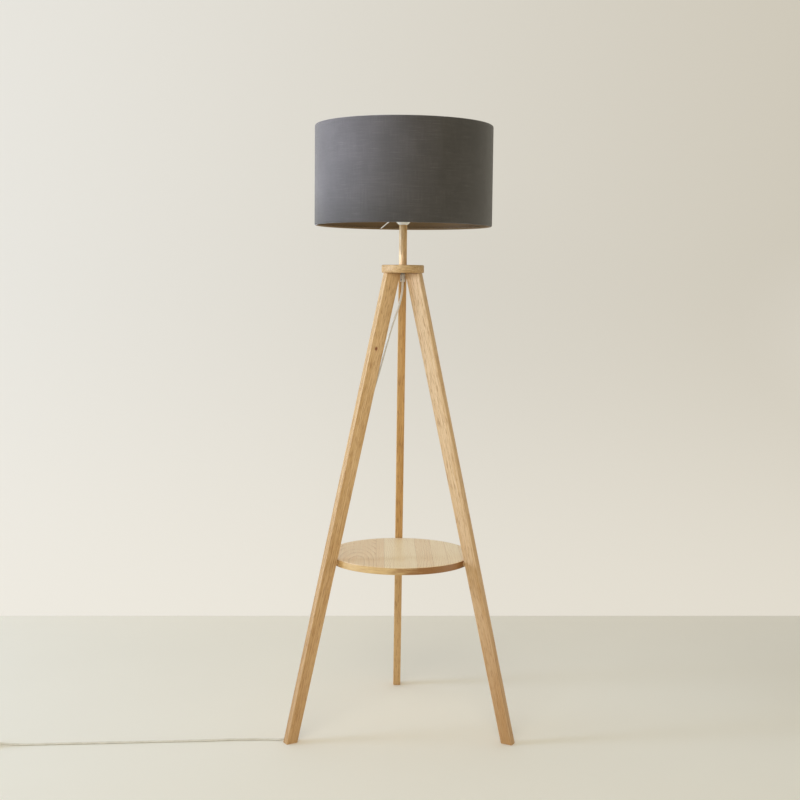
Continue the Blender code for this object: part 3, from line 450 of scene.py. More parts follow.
class Graph:
    """A material's nodes, built from expressions."""

    def __init__(self, name: str) -> None:
        """Starts a material with its shader and output.

        Args:
            name: The material's name.
        """
        self.material = bpy.data.materials.new(name)
        self.material.use_nodes = True
        self.tree = self.material.node_tree
        self.tree.nodes.clear()
        self.output = self.tree.nodes.new("ShaderNodeOutputMaterial")
        self.shader = self.tree.nodes.new("ShaderNodeBsdfPrincipled")
        self.tree.links.new(self.shader.outputs[0], self.output.inputs[0])

    def node(
        self, kind: str, settings: dict[str, Any] | None = None, **values: Any
    ) -> bpy.types.Node:
        """Adds a node, sets it up, then feeds its sockets.

        Args:
            kind: Blender's type name.
            settings: Its properties.
            **values: A number, colour or Sock for each socket: its name with _ for a space, or
                i and its number.

        Returns:
            The node.
        """
        made = self.tree.nodes.new(kind)
        for key, value in (settings or {}).items():
            setattr(made, key, value)
        for key, value in values.items():
            known = key[0] == "i" and key[1:].isdigit()
            self.feed(made.inputs[int(key[1:]) if known else key.replace("_", " ")], value)
        return made

    def feed(self, socket: bpy.types.NodeSocket, value: Any) -> None:
        """Links a Sock to an input, or sets the input to a number or colour.

        Args:
            socket: The input.
            value: A Sock, a number or a colour.
        """
        if isinstance(value, Sock):
            self.tree.links.new(value.socket, socket)
        elif socket.type == "RGBA":
            socket.default_value = (*value[:3], 1.0)
        else:
            socket.default_value = value

    def math(self, operation: str, *values: Number) -> Sock:
        """One Math node over one to three values."""
        feeds = {f"i{k}": value for k, value in enumerate(values)}
        return Sock(self, self.node("ShaderNodeMath", {"operation": operation}, **feeds).outputs[0])

    def root(self, value: Sock) -> Sock:
        """Square root."""
        return self.math("SQRT", value)

    def vector(self, x: Number, y: Number, z: Number) -> Sock:
        """Three values as one vector."""
        return Sock(self, self.node("ShaderNodeCombineXYZ", X=x, Y=y, Z=z).outputs[0])

    def split(self, vector: Sock) -> tuple[Sock, Sock, Sock]:
        """A vector's three values."""
        made = self.node("ShaderNodeSeparateXYZ", i0=vector)
        return tuple(Sock(self, out) for out in made.outputs)

    def here(self, place: Colour = (0, 0, 0), turn: Colour = (0, 0, 0)) -> Sock:
        """Object coordinates, seen from a frame of its own.

        Args:
            place: Where that frame stands.
            turn: How it is turned.

        Returns:
            The coordinates in that frame.
        """
        seen = Sock(self, self.node("ShaderNodeTexCoord").outputs["Object"])
        made = self.node(
            "ShaderNodeMapping",
            {"vector_type": "TEXTURE"},
            Vector=seen,
            Location=place,
            Rotation=turn,
        )
        return Sock(self, made.outputs[0])

    def flat(self) -> tuple[Sock, Sock]:
        """The piece's own flat coordinates, in metres.

        Returns:
            How far across and how far up.
        """
        made = self.node("ShaderNodeUVMap", {"uv_map": "flat"})
        u, v, _ = self.split(Sock(self, made.outputs[0]))
        return u, v

    def worn(self) -> Sock:
        """How worn the surface is, from the piece's attribute."""
        made = self.node("ShaderNodeAttribute", {"attribute_name": "worn"})
        return Sock(self, made.outputs["Fac"])

    def noise(self, vector: Sock, scale: float, detail: float = 3.0, rough: float = 0.55) -> Sock:
        """Smooth noise around 0.5, with so many turns to a metre.

        Args:
            vector: Where on the surface.
            scale: How many turns to a metre.
            detail: How many finer layers it has.
            rough: How strong each finer layer is.

        Returns:
            The noise.
        """
        made = self.node(
            "ShaderNodeTexNoise", Vector=vector, Scale=scale, Detail=detail, Roughness=rough
        )
        return Sock(self, made.outputs[0])

    def chance(self, value: Sock) -> Sock:
        """A number from 0 to 1 that is the same wherever the value is."""
        made = self.node("ShaderNodeTexWhiteNoise", {"noise_dimensions": "1D"}, W=value)
        return Sock(self, made.outputs["Value"])

    def step(self, value: Sock, low: float, high: float) -> Sock:
        """0 up to low, 1 from high, and a smooth rise between them.

        Args:
            value: What is measured.
            low: Where the rise starts.
            high: Where it ends.

        Returns:
            A number from 0 to 1.
        """
        made = self.node(
            "ShaderNodeMapRange",
            {"interpolation_type": "SMOOTHSTEP"},
            Value=value,
            From_Min=low,
            From_Max=high,
        )
        return Sock(self, made.outputs[0])

    def mix(self, first: Any, second: Any, share: Number) -> Sock:
        """A colour between two."""
        made = self.node("ShaderNodeMix", {"data_type": "RGBA"}, i0=share, i6=first, i7=second)
        return Sock(self, made.outputs[2])

    def bump(self, height: Sock, distance: float, strength: float = 1.0) -> Sock:
        """A normal from a height, whose full range is a distance in metres."""
        made = self.node("ShaderNodeBump", Height=height, Distance=distance, Strength=strength)
        return Sock(self, made.outputs[0])

    def close(self, **values: Any) -> bpy.types.Material:
        """Feeds the main shader and hands over the material.

        Args:
            **values: The shader's inputs by name.

        Returns:
            The material.
        """
        for key, value in values.items():
            self.feed(self.shader.inputs[key.replace("_", " ")], value)
        return self.material


# ---------------------------------------------------------------- finishes


@dataclass(frozen=True)
class Timber:
    """Pale hardwood whose grain runs along its frame's Z."""

    pale: Colour = srgb(226, 192, 146)
    warm: Colour = srgb(203, 162, 108)
    dark: Colour = srgb(160, 114, 66)
    place: Colour = (0.0, 0.0, 0.0)
    turn: Colour = (0.0, 0.0, 0.0)
    pith: tuple[float, float] = (0.055, 0.030)
    ring_pitch: float = 0.0042
    foot_tone: Colour = srgb(170, 120, 68)
    foot_tone_share: float = 0.0
    knot: Colour | None = None
    roughness: float = 0.54

    def material(self, name: str) -> bpy.types.Material:
        """Growth rings round a pith, fine pores along the grain and paler, smoother edges.

        Args:
            name: The material's name.

        Returns:
            The material.
        """
        g = Graph(name)
        x, y, z = g.split(g.here(self.place, self.turn))
        drift = g.noise(g.vector(x * 0.6, y * 0.6, z * 0.10), 22.0, 3.0) - 0.5
        across = x + drift * 0.013
        mark: Sock | None = None
        if self.knot:
            kx, ky, kz = self.knot
            apart = (x - kx) * (x - kx) + (y - ky) * (y - ky) * 0.2
            far = g.root(apart + (z - kz) * (z - kz) * 0.60)
            mark = 1.0 - g.step(far, 0.0016, 0.0058)
            bend = 1.0 - g.step(far, 0.002, 0.018)
            across = across + bend * 0.010
        a, b = self.pith
        reach = g.root((across + a) * (across + a) + (y + b) * (y + b))
        ring = g.math("FRACT", reach / self.ring_pitch)
        late = ring**3.0 * g.step(g.noise(g.vector(x, y, z * 0.06), 30.0), 0.30, 0.70)
        streak = g.noise(g.vector(x, y, z * 0.022), 300.0, 5.0, 0.62)
        fleck = g.noise(g.vector(x, y, z * 0.085), 420.0, 3.0, 0.6)
        broad = g.noise(g.vector(x * 0.8, y * 0.8, z * 0.05), 26.0, 2.0)
        pore = g.step(g.noise(g.vector(x, y, z * 0.030), 1700.0, 2.0), 0.59, 0.69)
        colour = g.mix(self.pale, self.warm, g.step(streak * 0.6 + broad * 0.4, 0.41, 0.60))
        # Darker towards the foot: over the lowest 0.8 m of the piece's own length the colour blends
        # into the foot tone.
        colour = g.mix(colour, self.foot_tone, (1.0 - g.step(z, 0.0, 0.80)) * self.foot_tone_share)
        colour = g.mix(colour, self.dark, late * 0.50)
        colour = g.mix(colour, self.dark, g.step(fleck, 0.50, 0.68) * 0.74)
        colour = g.mix(colour, self.dark, pore * 0.46)
        if mark is not None:
            colour = g.mix(colour, srgb(124, 62, 24), mark * 0.95)
        worn = g.worn()
        colour = g.mix(colour, self.pale, worn * 0.35)
        rough = self.roughness + pore * 0.20 + late * 0.08 - worn * 0.06
        height = 1.0 - pore * 0.7 - late * 0.25 + streak * 0.15
        return g.close(
            Base_Color=colour, Roughness=rough, Normal=g.bump(height, 0.00012, 0.6)
        )


@dataclass(frozen=True)
class Staves:
    """Flat-sawn staves glued side by side; the joints run along Y."""

    joints: tuple[float, ...] = (-0.160, -0.062, -0.041, 0.041, 0.082, 0.120, 0.156)
    pale: Colour = srgb(247, 228, 192)
    warm: Colour = srgb(234, 202, 160)
    dark: Colour = srgb(172, 124, 76)
    # The rim's dark, red grain; towards +X this colour also serves as painted shade.
    rim: Colour = srgb(142, 88, 28)
    turned: Colour = srgb(216, 180, 122)
    pitch: float = 0.0056
    wide_pitch: float = 0.0105

    def material(self, name: str) -> bpy.types.Material:
        """Each stave has its own tone and figure; the turned rim shows a darker, redder grain, and
        painted shade darkens the rim further towards +X, the side away from the light.

        Args:
            name: The material's name.

        Returns:
            The material.
        """
        g = Graph(name)
        x, y, z = g.split(g.here((0.0, AXIS_Y, 0.444)))
        number: Number = 0.0
        middle: Number = (self.joints[0] - 0.185) / 2
        seam: Number = 0.0
        ends = (-0.185, *self.joints, 0.185)
        for before, joint, after in zip(ends, self.joints, ends[2:]):
            past = x > joint
            number = past + number
            middle = past * ((after - before) / 2) + middle
            seam = g.math("MAXIMUM", 1.0 - g.step(abs(x - joint), 0.0001, 0.0007), seam)
        luck = g.chance(number + 0.37)
        other = g.chance(number + 7.91)
        drift = g.noise(g.vector(x, y * 0.25, z + luck * 3.0), 15.0, 3.0) - 0.5
        wobble = g.noise(g.vector(x, y, z + other), 50.0, 3.0) - 0.5
        quartered = x > self.joints[1]
        across = x - middle + drift * 0.034 + wobble * 0.004 + quartered * 0.16
        along = y * 0.30 + 0.036 - quartered * 0.032
        crown = g.root(across * across + along * along + (z + 0.012) * (z + 0.012))
        wide = self.wide_pitch - quartered * (self.wide_pitch - self.pitch)
        ring = g.math("FRACT", crown / wide + other)
        late = ring**5.0 * g.step(g.noise(g.vector(x, y * 0.10, z + luck), 26.0), 0.30, 0.66)
        late = late * (1.0 - quartered * (0.85 - other * 0.75))
        streak = g.noise(g.vector(x + luck, y * 0.03, z), 260.0, 5.0, 0.6)
        pore = g.step(g.noise(g.vector(x, y * 0.03, z), 1500.0, 2.0), 0.60, 0.70)
        colour = g.mix(self.pale, self.warm, g.step(luck * 0.35 + streak * 0.65, 0.24, 0.80))
        colour = g.mix(colour, self.dark, late * 0.66)
        colour = g.mix(colour, self.dark, pore * 0.30)
        colour = g.mix(colour, self.dark, seam * 0.50)
        # Rim tone: the noise gives darker, redder patches of grain; the step in x adds painted
        # shade, darkening the rim towards +X, the side away from the light.
        end = g.noise(g.vector(x * 0.6, y * 0.6, z * 5.0), 60.0, 4.0) * 0.55
        end = g.step(end + g.step(x, -0.06, 0.09) * 0.45, 0.20, 0.66)
        colour = g.mix(colour, g.mix(self.turned, self.rim, end), g.worn() * 0.92)
        rough = 0.36 + pore * 0.18 + late * 0.06
        height = 1.0 - pore * 0.7 - late * 0.2 - seam * 0.9
        return g.close(
            Base_Color=colour, Roughness=rough, Normal=g.bump(height, 0.00012, 0.6)
        )


@dataclass(frozen=True)
class Linen:
    """Plain-woven cloth with slubs, on the piece's flat coordinates."""

    thread: Colour = srgb(88, 84, 81)
    shadow: Colour = srgb(63, 60, 57)
    slub: Colour = srgb(120, 115, 111)
    pitch: float = 0.00075

    def material(self, name: str) -> bpy.types.Material:
        """Threads over and under each other, uneven in tone, with thicker yarns here and there.

        Args:
            name: The material's name.

        Returns:
            The material.
        """
        g = Graph(name)
        u, v = g.flat()
        wander = g.noise(g.vector(u, v, 0.0), 130.0, 2.0) - 0.5
        along = g.math("SINE", (u + wander * 0.0005) * (math.pi / self.pitch))
        up = g.math("SINE", (v + wander * 0.0005) * (math.pi / self.pitch))
        over = (along * up) > 0.0
        weave = abs(along) * over + abs(up) * (1.0 - over)
        weft = g.noise(g.vector(u * 0.035, v, 1.3), 620.0, 2.0)
        warp = g.noise(g.vector(u, v * 0.035, 4.1), 620.0, 2.0)
        thick = g.step(weft, 0.56, 0.72) * 0.8 + g.step(warp, 0.58, 0.76) * 0.6
        course = g.noise(g.vector(u * 0.05, v, 7.7), 290.0, 2.0)
        wale = g.noise(g.vector(u, v * 0.05, 9.2), 290.0, 2.0)
        uneven = g.step(course * 0.55 + wale * 0.45, 0.38, 0.62)
        cloud = g.noise(g.vector(u, v, 2.0), 9.0, 3.0)
        colour = g.mix(self.shadow, self.thread, weave * 0.55 + g.step(cloud, 0.3, 0.7) * 0.30)
        colour = g.mix(colour, self.slub, g.math("MINIMUM", thick, 1.0) * 0.27)
        colour = g.mix(colour, self.shadow, uneven * 0.34)
        height = weave * 0.7 + thick * 0.5
        return g.close(
            Base_Color=colour,
            Roughness=0.86 - thick * 0.06,
            Normal=g.bump(height, 0.00025, 0.55),
            Sheen_Weight=0.30,
            Sheen_Roughness=0.45,
            Specular_IOR_Level=0.25,
        )


@dataclass(frozen=True)
class Moulded:
    """A moulded or coated finish with fine mottling and faint scuffs."""

    colour: Colour
    second: Colour
    roughness: float = 0.35
    grain: float = 900.0
    depth: float = 0.00003
    coat: float = 0.0
    clear: float = 0.0
    soft: float = 0.0

    def material(self, name: str) -> bpy.types.Material:
        """A slightly cloudy colour over a fine orange-peel surface.

        Args:
            name: The material's name.

        Returns:
            The material.
        """
        g = Graph(name)
        here = g.here()
        cloud = g.noise(here, 45.0, 3.0)
        peel = g.noise(here, self.grain, 2.0)
        scuff = g.step(g.noise(here, 210.0, 4.0, 0.7), 0.60, 0.74)
        colour = g.mix(self.colour, self.second, g.step(cloud, 0.3, 0.7) * 0.7 + scuff * 0.3)
        return g.close(
            Base_Color=colour,
            Roughness=self.roughness + scuff * 0.12 + (peel - 0.5) * 0.06,
            Normal=g.bump(peel, self.depth, 0.5),
            Coat_Weight=self.coat,
            Coat_Roughness=0.2,
            Transmission_Weight=self.clear,
            Subsurface_Weight=self.soft,
            Subsurface_Scale=0.004,
        )


@dataclass(frozen=True)
class Metal:
    """A drawn, turned or plated metal."""

    colour: Colour
    tarnish: Colour
    roughness: float = 0.3

    def material(self, name: str) -> bpy.types.Material:
        """Fine turning lines and patches of duller tone.

        Args:
            name: The material's name.

        Returns:
            The material.
        """
        g = Graph(name)
        here = g.here()
        x, y, z = g.split(here)
        lines = g.noise(g.vector(x * 0.05, y * 0.05, z), 5200.0, 2.0)
        patch = g.step(g.noise(here, 160.0, 4.0, 0.6), 0.42, 0.70)
        return g.close(
            Base_Color=g.mix(self.colour, self.tarnish, patch * 0.6),
            Roughness=self.roughness + patch * 0.14 + (lines - 0.5) * 0.10,
            Metallic=1.0,
            Normal=g.bump(lines, 0.00002, 0.4),
        )


@dataclass(frozen=True)
class Film:
    """The shade's stiff backing film, seen from inside."""

    colour: Colour = srgb(136, 111, 78)
    second: Colour = srgb(112, 90, 60)

    def material(self, name: str) -> bpy.types.Material:
        """A dull film with the weave behind it faintly printed through.

        Args:
            name: The material's name.

        Returns:
            The material.
        """
        g = Graph(name)
        u, v = g.flat()
        print_through = g.noise(g.vector(u, v * 0.05, 0.0), 500.0, 2.0)
        cloud = g.noise(g.vector(u, v, 1.0), 8.0, 3.0)
        share = g.step(cloud, 0.3, 0.7) * 0.6 + print_through * 0.3
        colour = g.mix(self.colour, self.second, share)
        return g.close(
            Base_Color=colour, Roughness=0.62, Normal=g.bump(print_through, 0.00005, 0.4)
        )


class Slot(Enum):
    """The material slots, which also name the shared finishes."""

    LEG = "leg_oak"
    SHELF = "shelf_oak"
    LINEN = "grey_linen"
    FILM = "shade_film"
    ENAMEL = "white_enamel"
    WHITE = "white_plastic"
    CLEAR = "clear_plastic"
    STEEL = "zinc_steel"
    BRASS = "brass"
    NICKEL = "nickel"
    OPAL = "opal_glass"
    FLEX = "flex_plastic"


@dataclass
class Workshop:
    """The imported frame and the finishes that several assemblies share."""

    nodes: dict[str, bpy.types.Object]
    finishes: dict[Slot, bpy.types.Material] = field(default_factory=dict)

    def mix_finishes(self) -> None:
        """Makes the shared materials."""
        plain = {
            Slot.LINEN: Linen(),
            Slot.FILM: Film(),
            Slot.SHELF: Staves(),
            Slot.ENAMEL: Moulded(srgb(252, 251, 247), srgb(247, 245, 238), 0.34, 700.0),
            Slot.WHITE: Moulded(srgb(248, 246, 240), srgb(241, 238, 230), 0.30, soft=0.05),
            Slot.CLEAR: Moulded(srgb(240, 237, 230), srgb(228, 223, 213), 0.28, clear=0.12),
            Slot.STEEL: Metal(srgb(196, 194, 190), srgb(150, 148, 144), 0.30),
            Slot.BRASS: Metal(srgb(221, 184, 112), srgb(176, 134, 70), 0.28),
            Slot.NICKEL: Metal(srgb(212, 208, 200), srgb(176, 172, 164), 0.20),
            Slot.OPAL: Moulded(srgb(246, 245, 241), srgb(240, 238, 232), 0.22, soft=0.35),
            Slot.FLEX: Moulded(srgb(228, 224, 215), srgb(214, 210, 200), 0.38, 1400.0),
        }
        for slot, finish in plain.items():
            self.finishes[slot] = finish.material(slot.value)
        self.finishes[Slot.LEG] = Timber().material(Slot.LEG.value)

    def dress(
        self,
        piece: bpy.types.Object,
        slot: Slot,
        body: str,
        stands_for: tuple[str, ...] = (),
        material: bpy.types.Material | None = None,
    ) -> bpy.types.Object:
        """Finishes a new piece and ties it to the frame.

        Args:
            piece: The piece, in its place.
            slot: The material slot it belongs to.
            body: The moving body it rides on.
            stands_for: The frame's nodes that it replaces.
            material: Its own material, where the shared one won't do.

        Returns:
            The same piece.
        """
        piece.data.materials.clear()
        piece.data.materials.append(material or self.finishes[slot])
        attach(piece, body)
        if stands_for:
            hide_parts(*stands_for)
        log.info("%s: %d faces on %s", piece.name, len(piece.data.polygons), body)
        return piece

    def add(
        self,
        name: str,
        patches: list[Patch],
        slot: Slot,
        *stands_for: str,
        body: str = "stand",
        sharp: float = 35.0,
        material: bpy.types.Material | None = None,
    ) -> bpy.types.Object:
        """Makes a piece from patches and dresses it.

        Args:
            name: The piece's name.
            patches: Its grids.
            slot: The material slot it belongs to.
            *stands_for: The frame's nodes that it replaces.
            body: The moving body it rides on.
            sharp: The angle in degrees past which an edge stays crisp.
            material: Its own material, where the shared one won't do.

        Returns:
            The piece.
        """
        return self.dress(mesh_of(name, patches, sharp), slot, body, stands_for, material)

    def renew(
        self,
        node: str,
        name: str,
        slot: Slot,
        body: str = "stand",
        material: bpy.types.Material | None = None,
    ) -> bpy.types.Object:
        """Puts a node's own smoothed copy in its place.

        Args:
            node: The frame's node.
            name: The new piece's name.
            slot: The material slot it belongs to.
            body: The moving body it rides on.
            material: Its own material, where the shared one won't do.

        Returns:
            The piece.
        """
        return self.dress(self.smoothed(node, name), slot, body, (node,), material)

    def keep(self, slot: Slot, *names: str, material: bpy.types.Material | None = None) -> None:
        """Gives nodes of the frame that stay as they are a finish.

        Args:
            slot: The material slot.
            *names: The nodes.
            material: Their own material, where the shared one won't do.
        """
        for name in names:
            for place in self.nodes[name].material_slots:
                place.material = material or self.finishes[slot]

    def smoothed(self, node: str, name: str, sharp: float = 32.0) -> bpy.types.Object:
        """A copy of a node with its triangles sewn together, so that round sides shade smoothly.

        Args:
            node: The frame's node.
            name: The new piece's name.
            sharp: The angle in degrees past which an edge stays crisp.

        Returns:
            The copy.
        """
        mesh = self.nodes[node].data.copy()
        mesh.name = name
        shape = bmesh.new()
        shape.from_mesh(mesh)
        bmesh.ops.remove_doubles(shape, verts=shape.verts, dist=MERGE_DISTANCE)
        shape.to_mesh(mesh)
        shape.free()
        if mesh.has_custom_normals:
            mesh.normals_split_custom_set([(0, 0, 0)] * len(mesh.loops))
        mesh.shade_smooth()
        mesh.set_sharp_from_angle(angle=math.radians(sharp))
        return added(name, mesh)


# ---------------------------------------------------------------- legs and disc


@dataclass
class Leg:
    """One splayed leg with the plug over its shelf screw."""

    side: str
    azimuth: float
    seed: float
    tones: tuple[Colour, Colour] = (srgb(221, 185, 137), srgb(195, 154, 98))
    foot_tone_share: float = 0.45
    foot_tone: Colour = srgb(170, 120, 68)
    knot: Colour | None = None
    height: float = 1.176
    top_inner: float = 0.0123
    top_width: float = 0.0392
    foot_inner: float = 0.3003
    foot_width: float = 0.0306
    thickness: float = 0.020
    arris: float = 0.0017
    plug_height: float = 0.444
    plug_radius: float = 0.0050

    def axes(self) -> tuple[np.ndarray, np.ndarray]:
        """The outward and sideways directions.

        Returns:
            Two level unit directions.
        """
        turn = math.radians(self.azimuth)
        outward = np.array([math.cos(turn), math.sin(turn), 0.0])
        return outward, np.array([math.sin(turn), -math.cos(turn), 0.0])

    def edges(self, height: Any) -> tuple[np.ndarray, np.ndarray]:
        """Inner and outer radius at a height, both straight lines from foot to top.

        Args:
            height: The height above the floor, or several.

        Returns:
            The inner and the outer radius.
        """
        share = np.asarray(height, float) / self.height
        inner = self.foot_inner + (self.top_inner - self.foot_inner) * share
        foot_outer = self.foot_inner + self.foot_width
        outer = foot_outer + (self.top_inner + self.top_width - foot_outer) * share
        return inner, outer

    def board(self) -> Patch:
        """A tapered plank: level oblong outlines with round corners, stacked up the lean.

        Returns:
            The plank's skin, worn at its long and short arrises.
        """
        turn = np.radians(np.linspace(0, 90, 4))
        ease = self.arris * (1 - np.sin(turn))
        rise = self.arris * (1 - np.cos(turn))
        straight = np.linspace(0.03, self.height - 0.03, 22)
        height = np.concatenate([rise, straight, self.height - rise[::-1]])
        inset = np.concatenate([ease, np.zeros(len(straight)), ease[::-1]])
        inner, outer = self.edges(height)
        half_width, half_thickness = (outer - inner) / 2 - inset, self.thickness / 2 - inset
        outline = rounded_oblong(half_width, half_thickness, self.arris, 5)
        outward, sideways = self.axes()
        middle = ((inner + outer) / 2)[:, None]
        across, through = outline[:, :, 0, None], outline[:, :, 1, None]
        points = (middle[:, :, None] + across) * outward + through * sideways
        points[:, :, 1] += AXIS_Y
        points[:, :, 2] = height[:, None]
        corner = np.tile(np.sin(np.radians(np.linspace(0, 180, 5))), 4)
        worn = np.maximum(corner[None, :], (inset > 0)[:, None].astype(float))
        return loft(points, worn)

    def plug(self) -> Patch:
        """A low dome on the leg's outer face: rings of a disc, lifted by 1 - (r / R) ** 4.

        Returns:
            The plug's skin.
        """
        _, outer = self.edges(self.plug_height)
        _, above = self.edges(self.plug_height + 0.1)
        outward, sideways = self.axes()
        along = unit(outward * float(above - outer) + np.array([0, 0, 0.1]))
        normal = np.cross(sideways, along)
        normal = normal if normal @ outward > 0 else -normal
        centre = outward * float(outer) + np.array([0, AXIS_Y, self.plug_height])
        share = np.array([0.0, 0.5, 0.85, 0.96, 1.0, 1.0])
        lift = np.array([0.00012, 0.00012, 0.00010, 0.00004, -0.0003, -0.004])
        turn = np.linspace(0, 2 * np.pi, 28, endpoint=False)
        ring = np.cos(turn)[:, None] * along + np.sin(turn)[:, None] * sideways
        points = centre + ring[None] * (self.plug_radius * share)[:, None, None]
        points = points + lift[:, None, None] * normal
        flat = grid(share * self.plug_radius, np.linspace(0, 0.03, 29))
        floor = points[-1:].mean(axis=1, keepdims=True).repeat(28, axis=1)
        flat = np.concatenate([flat, flat[-1:]])
        return Patch(np.concatenate([points, floor]), flat, False, True)

    def timber(self) -> Timber:
        """Grain along this leg's own length.

        Returns:
            The leg's own wood.
        """
        outward, sideways = self.axes()
        low, high = (np.mean(self.edges(h)) for h in (0.0, self.height))
        along = unit(outward * (high - low) + np.array([0, 0, self.height]))
        across = np.cross(sideways, along)
        across = across if across @ outward > 0 else -across
        axes = Matrix(np.stack([across, np.cross(along, across), along], axis=1).tolist())
        place = outward * low + np.array([0, AXIS_Y, 0])
        return Timber(
            *self.tones,
            place=tuple(place),
            turn=tuple(axes.to_euler()),
            foot_tone_share=self.foot_tone_share,
            foot_tone=self.foot_tone,
            pith=(0.040 + 0.013 * self.seed, 0.020 + 0.017 * self.seed),
            knot=self.knot,
        )

    def build(self, shop: Workshop) -> None:
        """Makes and dresses the leg and its plug.

        Args:
            shop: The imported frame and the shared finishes.
        """
        material = self.timber().material("leg_oak_" + self.side)
        wood = {"sharp": 50.0, "material": material}
        side = "_" + self.side
        shop.add("leg_board" + side, [self.board()], Slot.LEG, "leg" + side, **wood)
        shop.add("screw_plug" + side, [self.plug()], Slot.LEG, "shelf_plug" + side, **wood)
        shop.keep(Slot.LEG, "shelf_spacer" + side, "leg_dowel" + side, material=material)
        shop.renew("leg_screw" + side, "disc_screw" + side, Slot.STEEL)
        shop.keep(Slot.STEEL, "shelf_screw" + side)


@dataclass
class HeadDisc:
    """The turned disc over the legs, and the upright that stands on it."""

    pole_radius: float = 0.010
    pole_low: float = 1.1966
    pole_high: float = 1.2976
    bore: float = 0.0052

    def build(self, shop: Workshop) -> None:
        """Makes and dresses the disc and the upright.

        Args:
            shop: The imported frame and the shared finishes.
        """
        disc_wood = Timber(
            pale=srgb(214, 181, 130),
            warm=srgb(194, 155, 102),
            dark=srgb(150, 108, 60),
            place=(0.0, AXIS_Y, 1.186),
            turn=(0.0, math.radians(90), math.radians(8)),
            pith=(0.03, 0.10),
        ).material("disc_oak")
        shop.renew("head_disc", "disc", Slot.LEG, material=disc_wood)
        ease = 0.0008
        profile = profile_of(
            (self.bore, self.pole_low),
            arc((self.pole_radius - ease, self.pole_low + ease), ease, -90, 0, 4),
            upright(self.pole_radius, 1.205, 1.290, 10),
            arc((self.pole_radius - ease, self.pole_high - ease), ease, 0, 90, 4),
            (self.bore, self.pole_high),
        )
        pole_wood = Timber(
            pale=srgb(248, 217, 168),
            warm=srgb(230, 190, 134),
            place=(0.004, AXIS_Y, 1.2),
            pith=(0.012, 0.022),
            ring_pitch=0.0034,
        )
        wood = pole_wood.material("pole_oak")
        shop.add("upright", [lathe(profile, 56, True)], Slot.LEG, "upright_pole", material=wood)


@dataclass
class Shelf:
    """The round shelf between the legs."""

    radius: float = 0.18507
    top: float = 0.453
    thickness: float = 0.018
    arris: float = 0.0016
    rings: int = 11

    def build(self, shop: Workshop) -> None:
        """A disc whose two arrises are quarter circles, marked as rim on its turned edge.

        Args:
            shop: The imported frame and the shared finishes.
        """
        low = self.top - self.thickness
        inside = self.radius - self.arris
        across = np.linspace(0.0, inside, self.rings + 1)[:-1]
        profile = profile_of(
            np.stack([across, np.full(self.rings, low)], axis=1),
            arc((inside, low + self.arris), self.arris, -90, 0, 6),
            upright(self.radius, low + 0.003, self.top - 0.003, 5),
            arc((inside, self.top - self.arris), self.arris, 0, 90, 6),
            np.stack([across[::-1], np.full(self.rings, self.top)], axis=1),
        )
        patch = lathe(profile, 160)
        rim = (profile[:, 0] > inside + 0.0007) & (profile[:, 1] < self.top - 0.0009)
        patch.worn = np.broadcast_to(rim.astype(float), patch.points.shape[:2])
        shop.add("shelf_board", [patch], Slot.SHELF, "shelf", sharp=50)


# ---------------------------------------------------------------- electrical head


